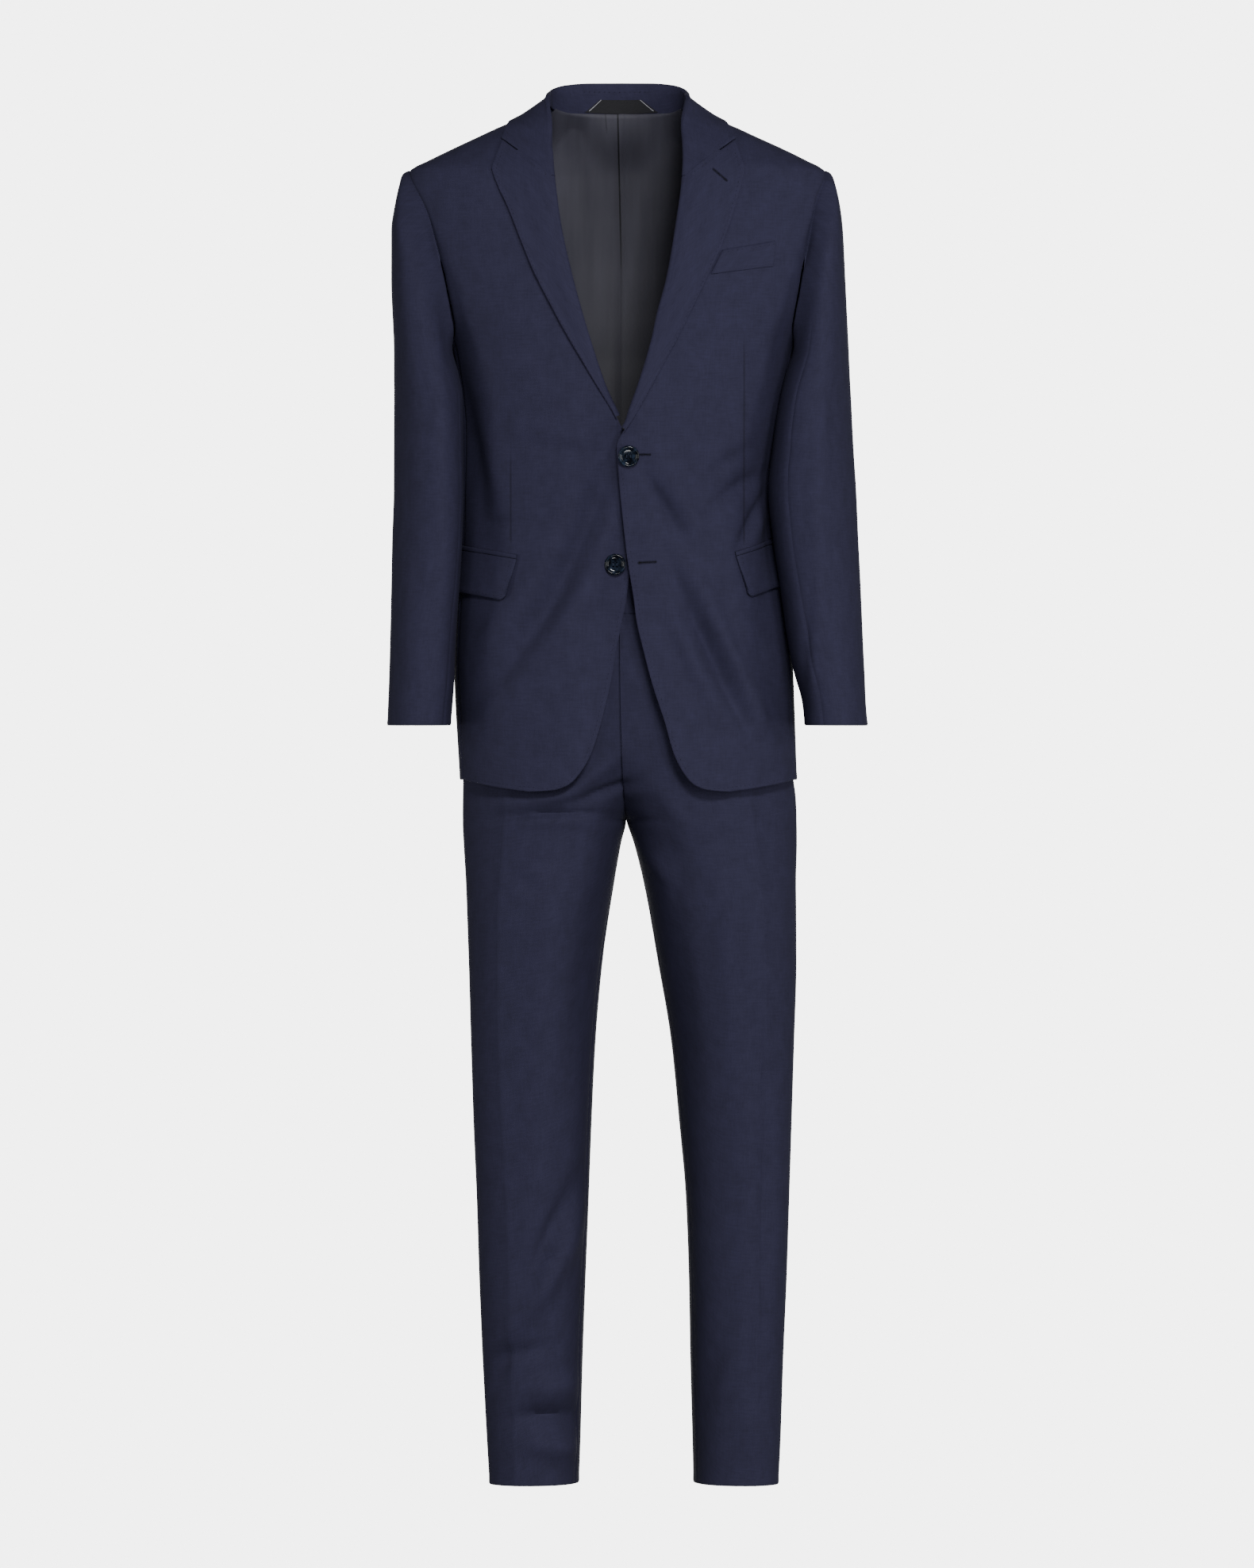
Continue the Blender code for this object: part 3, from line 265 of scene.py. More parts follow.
cutawayTable = (
    (0, -664, -664, 45.5, 24),
    (1, -690, -697, 55, 35),
    (2, -706, -718, 66, 47),
    (3, -716, -731, 78, 60),
    (4, -722, -736.5, 93, 76),
    (5, -725, -738, 113, 100),
)
lapelEdgeColumns = ("z", "left", "right")
lapelEdgeTable = (
    (-31.5, 120.7, 130.2),
    (-47.6, 126.4, 136.6),
    (-58, 129.9, 140.4),
    (-62.5, 131.2, 141.7),
    (-66, 130.8, 141.0),
    (-84, 127.1, 134.3),
    (-104.5, 121.2, 124.6),
    (-139, 110, 111),
    (-173, 95, 97),
    (-213, 76, 77),
    (-245, 60.5, 60),
    (-273, 45.5, 43.8),
    (-300, 31, 28),
    (-325, 17, 12.8),
    (-340, 8, 5),
    (-353, -1, -0.9),
)

torso = curves(torsoColumns, torsoTable)
armhole = curves(armholeColumns, armholeTable)
frontEdge = curves(frontEdgeColumns, frontEdgeTable)
cutaway = curves(cutawayColumns, cutawayTable)
lapelEdge = curves(lapelEdgeColumns, lapelEdgeTable)

# soft folds as ridges (plus) and troughs (minus): face is 1 in front, -1 at the back and 0 for
# broad ones anywhere in front, and the last number, how far the ends bend up, can be left out
foldColumns = ("face", "x", "z", "turn", "length", "width", "height", "bend")
jacketFolds = (
    (0, -75, -520, 62, 150, 26, -3.2),
    (0, -20, -455, 55, 70, 22, 2.0),
    (0, 75, -500, -58, 150, 26, 2.8),
    (0, 120, -560, -62, 120, 24, -2.4),
    (0, 125, -395, 52, 90, 20, -3.0),
    (0, 60, -440, -40, 70, 18, -1.8),
    # the long drag from the upper button down to the pocket, with its ridges
    (1, -66, -510, 61.5, 270, 12, -9.6, -14),
    (1, -44, -524, 62, 230, 15, 7.0, -14),
    (1, -91, -497, 61, 210, 15, 4.6, -14),
    (1, -66, -368, -6, 90, 9, -2.7),
    # pulls on the other front
    (1, 43, -424, -57, 60, 5, -3.0),
    (1, 49, -442, -60, 90, 7, -3.8),
    (1, 69, -432, -62, 120, 12, 6.6),
    (1, 30, -470, -66, 80, 10, 2.6),
    (1, 95, -588, -64, 180, 8.5, -9.8),
    (1, 76, -598, -64, 160, 9, 5.0),
    (1, 117, -588, -66, 190, 10.5, 8.2),
    # short creases at the waist
    (1, 124, -410, 35, 70, 8, -6.4, 4),
    (1, 117, -379, 34, 46, 6, -3.6),
    (1, 139.5, -444, 63, 62, 4.5, -6.8),
    (1, 147, -455, 63, 50, 7, 3),
    (1, -167, -362, -81, 170, 13, -8.0),
    (1, -128, -446, 4, 44, 5, -3.4),
    (1, -140, -392, -80, 90, 9, 2.7),
    (1, 166, -430, 86, 210, 12, -7.0),
    (1, -150, -610, 80, 120, 14, 2.3),
    # across the back
    (-1, 0, -96, 0, 190, 20, 1.4, 8),
    (-1, -105, -200, 62, 150, 18, 1.8, 8),
    (-1, 108, -195, -60, 150, 18, 1.8, -8),
    (-1, -70, -372, 18, 150, 13, -2.0, 6),
    (-1, 66, -382, -16, 150, 13, -2.0, 6),
    (-1, 0, -410, 0, 170, 14, 1.7, -8),
    (-1, -96, -430, 30, 100, 11, -1.3, 3),
    (-1, 100, -436, -32, 100, 11, -1.3, 3),
    (-1, -60, -590, 82, 190, 20, 1.3),
    (-1, 70, -600, -80, 190, 20, 1.3),
)


def foldRelief(points, normals, table):
    x, z = points[..., 0], points[..., 2]
    total = np.zeros(x.shape)
    for row in table:
        fold = {"bend": 0, **dict(zip(foldColumns, row))}
        turn = math.radians(fold["turn"])
        right, up = x - fold["x"], z - fold["z"]
        along = (right * math.cos(turn) + up * math.sin(turn)) * 2 / fold["length"]
        across = up * math.cos(turn) - right * math.sin(turn) + fold["bend"] * along ** 2
        rise = fold["height"] * np.exp(-along ** 2 - (across / fold["width"]) ** 2)
        if fold["face"]:
            rise = rise * smooth(-normals[..., 1] * fold["face"] * 2)
        else:
            rise = rise * (points[..., 1] < 0)
        total += rise
    return total


def torsoWidth(x, z):
    return np.where(x > 0, torso["left"](z), torso["right"](z))


def torsoDepth(y, z):
    return np.where(y > 0, torso["back"](z), torso["front"](z))


def torsoReach(x, y, z):
    power = jacket["sectionPower"]
    return (np.abs(x) / torsoWidth(x, z)) ** power + (np.abs(y) / torsoDepth(y, z)) ** power


def torsoNormal(points):
    x, y, z = points[..., 0], points[..., 1], points[..., 2]
    step = 0.5
    return unit(stacked(
        torsoReach(x + step, y, z) - torsoReach(x - step, y, z),
        torsoReach(x, y + step, z) - torsoReach(x, y - step, z),
        torsoReach(x, y, z + step) - torsoReach(x, y, z - step),
    ))


def ownWidth(side, across, z):
    # the width on the half that a place is on, when across counts outwards on its own side
    return torsoWidth(np.where(across >= 0, sides[side], -sides[side]), z)


def torsoPoint(side, angle, z):
    across, along = np.cos(angle), np.sin(angle)
    power = 2 / jacket["sectionPower"]
    x = sides[side] * ownWidth(side, across, z) * signedPower(across, power)
    return stacked(x, torsoDepth(along, z) * signedPower(along, power), z)


def frontAngle(side, across, z):
    width = ownWidth(side, across, z)
    share = np.minimum(np.abs(across) / width, 1.0) ** (jacket["sectionPower"] / 2)
    return -np.arccos(np.sign(across) * share)


def depthAngle(depth, y):
    return np.arcsin(np.minimum(np.abs(y) / depth, 1.0) ** (jacket["sectionPower"] / 2))


def armholeAngle(face, z):
    sign = -1 if face == "front" else 1
    return sign * depthAngle(torso[face](z), armhole[face](z))


def lapRise(side, x, z):
    near = 1 - ramp(x * sides[side], *jacket["overlapSpan"])
    low = ramp(-z, *jacket["overlapLow"])
    amount = jacket["overlapLift"] if side == "left" else -jacket["underlapDrop"]
    return amount * near * low


def onJacket(side, angle, z, out=0.0):
    point = torsoPoint(side, angle, z)
    normal = torsoNormal(point)
    lapping = lapRise(side, point[..., 0], point[..., 2]) * (point[..., 1] < 0)
    rise = out + lapping + foldRelief(point, normal, jacketFolds)
    return point + normal * rise[..., None], normal


def onFront(side, across, z, out=0.0):
    return onJacket(side, frontAngle(side, np.asarray(across, float), z), z, out)


# shader maths as plain sums

class Socket:
    def __init__(self, tree, socket):
        self.tree, self.socket = tree, socket

    def maths(self, operation, other, swapped=False):
        node = self.tree.nodes.new("ShaderNodeMath")
        node.operation = operation
        pair = (other, self) if swapped else (self, other)
        for place, item in zip(node.inputs, pair):
            plugIn(self.tree, place, item)
        return Socket(self.tree, node.outputs[0])

    def __add__(self, other):
        return self.maths("ADD", other)

    def __sub__(self, other):
        return self.maths("SUBTRACT", other)

    def __rsub__(self, other):
        return self.maths("SUBTRACT", other, True)

    def __mul__(self, other):
        return self.maths("MULTIPLY", other)

    __radd__ = __add__
    __rmul__ = __mul__


def plugIn(tree, place, item):
    if isinstance(item, Socket):
        tree.links.new(item.socket, place)
    else:
        place.default_value = item


class Finish:
    # one material, its shader, and any node by its type, settings and sockets
    def __init__(self, name, **constants):
        self.material = bpy.data.materials.new(name)
        self.material.use_nodes = True
        self.tree = self.material.node_tree
        self.shader = self.tree.nodes["Principled BSDF"]
        for key, value in constants.items():
            self.shader.inputs[key].default_value = value

    def node(self, kind, settings, sockets, output=0):
        node = self.tree.nodes.new(kind)
        for key, value in settings.items():
            setattr(node, key, value)
        for key, value in sockets.items():
            plugIn(self.tree, node.inputs[key], value)
        return Socket(self.tree, node.outputs[output])

    def clothMap(self):
        return self.node("ShaderNodeUVMap", {"uv_map": "cloth"}, {})

    def place(self):
        return self.node("ShaderNodeTexCoord", {}, {}, 3)

    def axes(self):
        split = self.node("ShaderNodeSeparateXYZ", {}, {0: self.place()})
        return [Socket(self.tree, output) for output in split.socket.node.outputs]

    def noise(self, vector, scale, detail=2.0, roughness=0.5):
        return self.node("ShaderNodeTexNoise", {}, {
            "Vector": vector, "Scale": scale, "Detail": detail, "Roughness": roughness,
        })

    def stretched(self, vector, x, y, z=1.0):
        return self.node("ShaderNodeVectorMath", {"operation": "MULTIPLY"}, {
            0: vector, 1: (x, y, z),
        })

    def ranged(self, value, low, high, toLow=0.0, toHigh=1.0):
        return self.node("ShaderNodeMapRange", {"interpolation_type": "SMOOTHSTEP"}, {
            "Value": value, "From Min": low, "From Max": high, "To Min": toLow, "To Max": toHigh,
        })

    def mixedColour(self, factor, a, b):
        sockets = {0: factor, 6: a if isinstance(a, Socket) else (*a, 1.0)}
        sockets[7] = b if isinstance(b, Socket) else (*b, 1.0)
        return self.node("ShaderNodeMix", {"data_type": "RGBA"}, sockets, 2)

    def bump(self, height, strength, distance, under=None):
        sockets = {"Height": height, "Strength": strength, "Distance": distance}
        if under is not None:
            sockets["Normal"] = under
        return self.node("ShaderNodeBump", {}, sockets)

    def feed(self, key, value):
        plugIn(self.tree, self.shader.inputs[key], value)


wool = {
    "dark": (0.0092, 0.0088, 0.0205),
    "light": (0.0190, 0.0182, 0.0420),
    "slubsAcross": 520.0,   # per metre, between weft slubs
    "slubsAlong": 560.0,
    "twill": 1500.0,        # ribs per metre
    "roughness": 0.86,
    # a dart's line is painted with shade, darker where its groove would be shaded, and sunk by the
    # depth
    "dartPaintedShade": 0.45,      # how dark and how deep a dart's line is
    "dartDepth": 2.2,
}


def shaded(colour, share):
    return tuple(c * share for c in colour)


def clothFinish(name, darts=(), shade=1.0):
    finish = Finish(name, **{
        "Roughness": wool["roughness"], "Specular IOR Level": 0.16,
    })
    uv = finish.clothMap()
    weft = finish.noise(finish.stretched(uv, 60.0, wool["slubsAcross"]), 1.0, 3.0, 0.62)
    warp = finish.noise(finish.stretched(uv, wool["slubsAlong"], 55.0), 1.0, 3.0, 0.62)
    broad = finish.noise(finish.stretched(uv, 60.0, 40.0), 1.0, 4.0, 0.6)
    ribs = finish.node(
        "ShaderNodeTexWave", {"wave_type": "BANDS", "bands_direction": "DIAGONAL"},
        {"Vector": uv, "Scale": wool["twill"] / 6.0, "Distortion": 1.2, "Detail": 1.0},
    )
    tone = finish.ranged(weft * 0.4 + warp * 0.3 + broad * 0.44, 0.14, 1.0)
    dark, light = shaded(wool["dark"], shade), shaded(wool["light"], shade)
    colour = finish.mixedColour(tone, dark, light)
    height = weft * 0.5 + warp * 0.4 + ribs * 0.12
    for place, top, bottom in darts:
        x, y, z = finish.axes()
        line = finish.ranged((x - place).maths("ABSOLUTE", 0.0), 0.0004, 0.0016, 1.0, 0.0)
        ends = finish.ranged(z, bottom, bottom + 0.012) * finish.ranged(z, top - 0.03, top, 1.0, 0.0)
        line = line * ends * y.maths("LESS_THAN", -0.03)  # only in front
        # painted shade along each dart's seam line
        colour = finish.mixedColour(line * wool["dartPaintedShade"], colour, shaded(dark, 0.35))
        height = height - line * wool["dartDepth"]
    finish.feed("Base Color", colour)
    finish.feed("Normal", finish.bump(height, 0.22, 0.0005))
    return finish.material


lining = {
    "dark": (0.0262, 0.0256, 0.0362),
    "light": (0.0372, 0.0364, 0.0500),
    # painted shade: the satin's colour is darkened deep in the neck opening, over this span of z
    "paintedLowShade": 0.68,  # how much darker the satin is deep in the neck opening
    "paintedShadeSpan": (-0.34, -0.14),
    "pleat": (  # shadow lines: x at the neck, x gained a metre down, lowest z, fading over, depth
        (-0.0057, 0.0233, -0.19, 0.08, 0.9),
        (-0.0190, 0.0800, -0.02, 0.012, 0.45),
    ),
}


def liningFinish():
    finish = Finish("liningSatin", **{
        "Roughness": 0.6, "Specular IOR Level": 0.22,
    })
    uv = finish.clothMap()
    streaks = finish.noise(finish.stretched(uv, 34.0, 3.0), 1.0, 3.0, 0.55)
    weave = finish.noise(finish.stretched(uv, 1200.0, 300.0), 1.0, 1.0)
    tone = finish.ranged(streaks, 0.3, 0.72)
    colour = finish.mixedColour(tone, lining["dark"], lining["light"])
    x, _, z = finish.axes()
    # painted shade, darker lower down in the neck opening
    deep = finish.ranged(z, *lining["paintedShadeSpan"], 1.0, 0.0)
    colour = finish.mixedColour(deep, colour, shaded(lining["dark"], lining["paintedLowShade"]))
    for place, gained, low, fade, depth in lining["pleat"]:
        off = (x + z * gained - place).maths("ABSOLUTE", 0.0)
        line = finish.ranged(off, 0.0004, 0.0012, depth, 0.0) * finish.ranged(z, low, low + fade)
        colour = finish.mixedColour(line, colour, shaded(lining["dark"], 0.12))
    finish.feed("Base Color", colour)
    relief = finish.bump(weave, 0.2, 0.0002)
    finish.feed("Normal", finish.bump(streaks, 0.25, 0.003, relief))
    return finish.material


labelWeave = {"dark": (0.0055, 0.0055, 0.0070), "light": (0.0115, 0.0115, 0.0140)}


def labelFinish():
    finish = Finish("labelWeave", **{"Roughness": 0.75, "Specular IOR Level": 0.15})
    weave = finish.noise(finish.stretched(finish.clothMap(), 1500.0, 1500.0), 1.0, 1.0)
    tone = finish.ranged(weave, 0.3, 0.7)
    finish.feed("Base Color", finish.mixedColour(tone, labelWeave["dark"], labelWeave["light"]))
    finish.feed("Normal", finish.bump(weave, 0.3, 0.0003))
    return finish.material


horn = {
    "dark": (0.0012, 0.0016, 0.0030),
    "light": (0.0110, 0.0180, 0.0330),
    "roughness": (0.06, 0.12),
}


def buttonFinish():
    finish = Finish("buttonHorn", **{
        "Roughness": 0.1, "IOR": 1.5, "Specular IOR Level": 0.16,
    })
    place = finish.place()
    cloud = finish.noise(finish.stretched(place, 150.0, 150.0, 90.0), 1.0, 4.0, 0.6)
    veins = finish.noise(finish.stretched(place, 420.0, 420.0, 260.0), 1.0, 3.0, 0.55)
    tone = finish.ranged(cloud * 0.65 + veins * 0.35, 0.42, 0.68)
    finish.feed("Base Color", finish.mixedColour(tone, horn["dark"], horn["light"]))
    finish.feed("Roughness", finish.ranged(veins, 0.2, 0.8, *horn["roughness"]))
    return finish.material


def threadFinish(name, colour, roughness=0.6):
    finish = Finish(name, **{"Roughness": roughness, "Specular IOR Level": 0.12})
    twist = finish.noise(finish.place(), 1800.0, 2.0)
    tone = finish.ranged(twist, 0.3, 0.7)
    finish.feed("Base Color", finish.mixedColour(tone, colour, shaded(colour, 1.7)))
    finish.feed("Normal", finish.bump(twist, 0.4, 0.0002))
    return finish.material


finishes = {
    "wool": clothFinish("navyWool"),
    "frontLeft": clothFinish("navyWoolFrontLeft", darts=((0.1313, -0.243, -0.474),)),
    "frontRight": clothFinish("navyWoolFrontRight", darts=((-0.1218, -0.363, -0.474),)),
    "trousers": clothFinish("navyTrouserWool", shade=0.97),
    "lining": liningFinish(),
    "label": labelFinish(),
    "labelEdge": threadFinish("labelEdgeThread", (0.14, 0.14, 0.155)),
    "button": buttonFinish(),
    "thread": threadFinish("navyThread", (0.0048, 0.0048, 0.0100), 0.9),
    "buttonThread": threadFinish("buttonThread", (0.010, 0.013, 0.024)),
    # a near-black finish for the painted shadow laid into the buttonholes' slits
    "slit": threadFinish("slitShadow", (0.0016, 0.0017, 0.0026), 0.95),
}
print("materials made")


# walls of cloth from grids of points


def declare(piece, nodes=()):
    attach(piece, "root")
    if nodes:
        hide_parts(*nodes)


def meshObject(name, vertices, faces, material):
    mesh = bpy.data.meshes.new(name)
    mesh.from_pydata([tuple(v) for v in np.asarray(vertices) * mm], [], faces)
    mesh.shade_smooth()
    mesh.set_sharp_from_angle(angle=math.radians(48))
    mesh.materials.append(material)
    return linked(name, mesh)


def clothWall(name, points, normals, uv, finish, nodes=(), thickness=jacket["wallThickness"]):
    # a closed thin shell on a grid, with the grid as its outer face
    place = np.arange(points.shape[0] * points.shape[1]).reshape(points.shape[:2])
    count = place.size
    across, down = np.gradient(points, axis=1), np.gradient(points, axis=0)
    facing = np.sum(np.cross(down, across) * normals) * np.sign(thickness)
    corners = (place[:-1, :-1], place[1:, :-1], place[1:, 1:], place[:-1, 1:])
    outer = np.stack([corner.ravel() for corner in corners], axis=1)
    rim = np.concatenate([place[0], place[1:, -1], place[-1, -2::-1], place[-2:0:-1, 0]])
    after = np.roll(rim, -1)
    edge = np.stack([rim, after, after + count, rim + count], axis=1)
    faces = np.concatenate([outer, outer[:, ::-1] + count, edge])
    if facing < 0:
        faces = faces[:, ::-1]
    vertices = np.concatenate([points.reshape(-1, 3), (points - normals * thickness).reshape(-1, 3)])
    made = meshObject(name, vertices, faces.tolist(), finishes[finish])
    layer = made.data.uv_layers.new(name="cloth")
    spots = np.zeros(len(made.data.loops), int)
    made.data.loops.foreach_get("vertex_index", spots)
    flat = np.concatenate([uv.reshape(-1, 2)] * 2) * mm
    layer.data.foreach_set("uv", flat[spots].ravel())
    declare(made, nodes)
    return made


def lengthAcross(points):
    # how far each point lies from the first column, along its own row
    steps = np.linalg.norm(np.diff(points, axis=1), axis=-1)
    return np.concatenate([np.zeros((points.shape[0], 1)), np.cumsum(steps, axis=1)], axis=1)


def lengthDown(points):
    return lengthAcross(points.swapaxes(0, 1)).T


def flatMap(points):
    return stacked(lengthAcross(points), lengthDown(points))


# an edge dips (depth, reach) and swells behind it (height, place, reach), in millimetres
edgeForms = {"seam": (-0.75, 1.9, 0.12, 4.5, 2.5), "free": (-0.55, 0.7, 0.30, 3.2, 2.6)}


def edgeRelief(points, **edges):
    down, across = lengthDown(points), lengthAcross(points)
    distances = {
        "top": down, "bottom": down[-1:] - down, "first": across, "last": across[:, -1:] - across,
    }
    total = 0.0
    for edge, form in edges.items():
        depth, dipReach, height, place, swellReach = edgeForms[form]
        away = distances[edge]
        total = total + depth * np.exp(-(away / dipReach) ** 2)
        total = total + height * np.exp(-((away - place) / swellReach) ** 2)
    return total


def raised(points, normals, rise):
    return points + normals * rise[..., None]


def gridNormals(points, wrap=False):
    down = np.gradient(points, axis=0)
    if wrap:
        across = np.roll(points, -1, axis=1) - np.roll(points, 1, axis=1)
    else:
        across = np.gradient(points, axis=1)
    return unit(np.cross(across, down))


def backOff(points, *edges):
    points = points.copy()
    gap = jacket["seamGap"]
    if "first" in edges:
        points[:, 0] += gap * unit(points[:, 1] - points[:, 0])
    if "last" in edges:
        points[:, -1] += gap * unit(points[:, -2] - points[:, -1])
    return points


def declareSheet(points):
    # measures the longest column and each cell's diagonals, and uses neither
    length = lengthDown(points)[-1].max() * mm
    a, b = points[1:, 1:] - points[:-1, :-1], points[1:, :-1] - points[:-1, 1:]


def spread(length, count, near=(0.0, 0.7, 2.0, 4.5)):
    # places across strips of these lengths, closer together by the two edges
    near = np.array(near)
    first = near[None] * np.minimum(1.0, length[:, None] / 16)
    last = length[:, None] - first[:, ::-1]
    middle = np.linspace(0, 1, count - 2 * len(near) + 2)[1:-1]
    return np.concatenate([first, mixed(first[:, -1:], last[:, :1], middle), last], axis=1)


def spreadShares(length, count, *near):
    return spread(np.array([length]), count, *near)[0] / length


def jacketStrip(side, starts, ends, count, centre, out=0.0):
    # evenly spread rows of the jacket's form, from (angle, z) starts to ends
    shares = np.linspace(0, 1, 81)
    startAngle, startZ = starts[:, :1], starts[:, 1:]
    endAngle, endZ = ends[:, :1], ends[:, 1:]
    angles, heights = mixed(startAngle, endAngle, shares), mixed(startZ, endZ, shares)
    run = lengthAcross(torsoPoint(side, angles, heights))
    wanted = spread(run[:, -1], count)
    share = np.array([np.interp(w, r, shares) for w, r in zip(wanted, run)])
    angle, z = mixed(startAngle, endAngle, share), mixed(startZ, endZ, share)
    points, normals = onJacket(side, angle, z, out)
    toStart = torsoPoint(side, mixed(centre, startAngle, shares), startZ + 0 * shares)
    sign = np.sign(startAngle - centre + 1e-9) * np.sign(endAngle - centre + 1e-9)
    way = np.where(np.abs(endAngle - centre) > np.abs(startAngle - centre), 1.0, -1.0)
    u = lengthAcross(toStart)[:, -1:] * np.where(way > 0, sign, 1.0) + way * wanted
    return points, normals, stacked(u * sides[side], lengthDown(points).mean(axis=1)[:, None])


# jacket body: fronts, side panels and backs

body = {
    "frontColumns": 54,
    "sideColumns": 26,
    "backColumns": 46,
    "shoulderRows": 16,
    "armholeRows": 48,
    "rowStep": 4.6,
    "hemSteps": (4.5, 2.0, 0.7, 0.0),  # the last rows over the hem
    "frontHem": -664.0,                # where the fronts' cutaway begins
    "backHem": -725.0,
    "backHemDip": 3.0,
    "backDipLow": (640.0, 80.0),
    "armpitFade": 54.0,                # how far down the armhole's dip can be seen
}


def shoulderHeights():
    return np.linspace(jacket["neckPointZ"], jacket["shoulderTipZ"], body["shoulderRows"])


def armholeHeights():
    shares = np.linspace(0, 1, body["armholeRows"])[1:] ** jacket["armholeCrowding"]
    return mixed(jacket["shoulderTipZ"], jacket["armpitZ"], shares)


def seamHeights(low):
    top = jacket["armpitZ"]
    return np.linspace(top, low, int((top - low) / body["rowStep"]))[1:]


def backSeamHeights():
    seams, hem = seamHeights(body["backHem"]), body["backHem"] + np.array(body["hemSteps"])
    return np.concatenate([seams[seams > hem[0] + 1], hem])


def addFront(side):
    tops, arms, seams = shoulderHeights(), armholeHeights(), seamHeights(body["frontHem"])
    z = np.concatenate([tops, arms, seams])
    seamAngle = jacket["frontSideSeam"]
    endAngle = np.concatenate([0 * tops, armholeAngle("front", arms), seamAngle + 0 * seams])
    startAngle = frontAngle(side, frontEdge[side](z), z)
    place = np.concatenate([np.linspace(0, 4, 21)[1:], (4.35, 4.7, 5.0)])
    edgeZ, sideZ = cutaway["edgeZ"](place), cutaway["sideZ"](place)
    cornerAngle = frontAngle(side, cutaway[side](place), edgeZ)
    starts = stacked(np.append(startAngle, cornerAngle), np.append(z, edgeZ))
    ends = stacked(np.append(endAngle, seamAngle + 0 * sideZ), np.append(z, sideZ))
    points, normals, uv = jacketStrip(side, starts, ends, body["frontColumns"], math.radians(-90))
    relief = edgeRelief(points, first="free", last="seam", bottom="free")
    points = backOff(raised(points, normals, relief), "last")
    name = named("front", side)
    piece = clothWall(name, points, normals, uv, name, ["jacket_front_" + side])
    declareSheet(points)
    return points, normals


def backNeckHeight(angle):
    return jacket["neckPointZ"] * np.cos(angle) ** 1.5


def addBack(side):
    tops, arms, seams = shoulderHeights()[1:], armholeHeights(), backSeamHeights()
    z = np.concatenate([tops, arms, seams])
    seamAngle, middle = jacket["backSideSeam"], math.radians(90)
    startAngle = np.concatenate([0 * tops, armholeAngle("back", arms), seamAngle + 0 * seams])
    low = z - body["backHemDip"] * ramp(-z, *body["backDipLow"])
    starts, ends = stacked(startAngle, z), stacked(middle, low)
    points, normals, uv = jacketStrip(side, starts, ends, body["backColumns"], middle)
    # the neck seam, level across the back and rising to the neck point
    shares = np.linspace(0, 1, 200)
    angle = middle * shares
    run = lengthAcross(torsoPoint(side, angle, backNeckHeight(angle))[None])
    angle = middle * np.interp(spread(run[:, -1], body["backColumns"])[0], run[0], shares)
    neck, neckNormals = onJacket(side, angle, backNeckHeight(angle))
    points = np.concatenate([neck[None], points])
    normals = np.concatenate([neckNormals[None], normals])
    uv = np.concatenate([uv[:1] - (0, 4), uv])
    points = raised(points, normals, edgeRelief(points, first="seam", last="seam", bottom="free"))
    points = backOff(points, "first", "last")
    normals[:, -1, 0] = 0
    name = named("back", side)
    piece = clothWall(name, points, unit(normals), uv, "wool", ["jacket_back_" + side])
    declareSheet(points)


def underarmHeight(angle):
    share = (angle - jacket["frontSideSeam"]) / (jacket["backSideSeam"] - jacket["frontSideSeam"])
    return jacket["armpitZ"] - jacket["armpitDrop"] * np.sin(math.pi * share)


def addSide(side):
    top, z = jacket["armpitZ"], backSeamHeights()
    z = np.concatenate([(top, top - 1), z[z < top - 1]])
    starts, ends = stacked(jacket["frontSideSeam"], z), stacked(jacket["backSideSeam"], z)
    uv = jacketStrip(side, starts, ends, body["sideColumns"], math.radians(-90))[2]
    # the armhole's foot dips between the two seams, and the dip dies out below it
    angles = np.linspace(jacket["frontSideSeam"], jacket["backSideSeam"], body["sideColumns"])
    fade = np.clip((z[:, None] - top + body["armpitFade"]) / body["armpitFade"], 0, 1)
    dip = (underarmHeight(angles) - top)[None] * fade
    points, normals = onJacket(side, np.broadcast_to(angles, dip.shape), z[:, None] + dip)
    points = raised(points, normals, edgeRelief(points, first="seam", last="seam", bottom="free"))
    points = backOff(points, "first", "last")
    name = named("side", side)
    piece = clothWall(name, points, normals, uv, "wool", ["jacket_side_" + side])
    declareSheet(points)


frontGrids = {side: addFront(side) for side in sides}
for side in sides:
    addBack(side)
    addSide(side)
print("jacket body made")


# lapels and collar

lapel = {
    "gorgeAtRoll": -71.8,
    "foot": {"left": (-346, -351), "right": (-333, -337)},
    "belly": 2.8,
    "bellyRise": 6.0,                    # how soon it rises beside the roll
    "fullWidth": 40.0,                   # narrower than this, all swells shrink
    "edgeLift": {"left": -0.2, "right": 3.2},  # how far the outer edge stands off at its foot
    "notch": 0.66,                       # where along the gorge the notch opens
    "notchSpan": (-0.05, 0.08),          # where its free edge begins, counted from the notch
    "gorgeClose": (0.4, 1.9, 14.0),      # closed by this at the roll, by the notch, fading over
    "closeFade": 0.04,
    "rollRadius": 4.2,
    "rollTurn": (135, 12),
    "width": 100.0,                      # about this wide and long, for spreading the rows
    "length": 300.0,
    "rows": 84,
    "columns": 30,
}


def rolled(edge, normal, beyond, turns, reach, lift=0.0):
    middle = edge - normal * jacket["cloth"] / 2
    radius = lapel["rollRadius"]
    points, normals = [], []
    for i, turn in enumerate(turns):
        out, over = math.cos(turn), math.sin(turn)
        sideReach = reach if out > 0 else radius
        rise = over * radius + lift * min(i / 3.0, 1.0)
        points.append(middle + normal * out * sideReach + beyond * rise)
        normals.append(unit(normal * out * radius + beyond * over * sideReach))
    return np.array(points), np.array(normals)


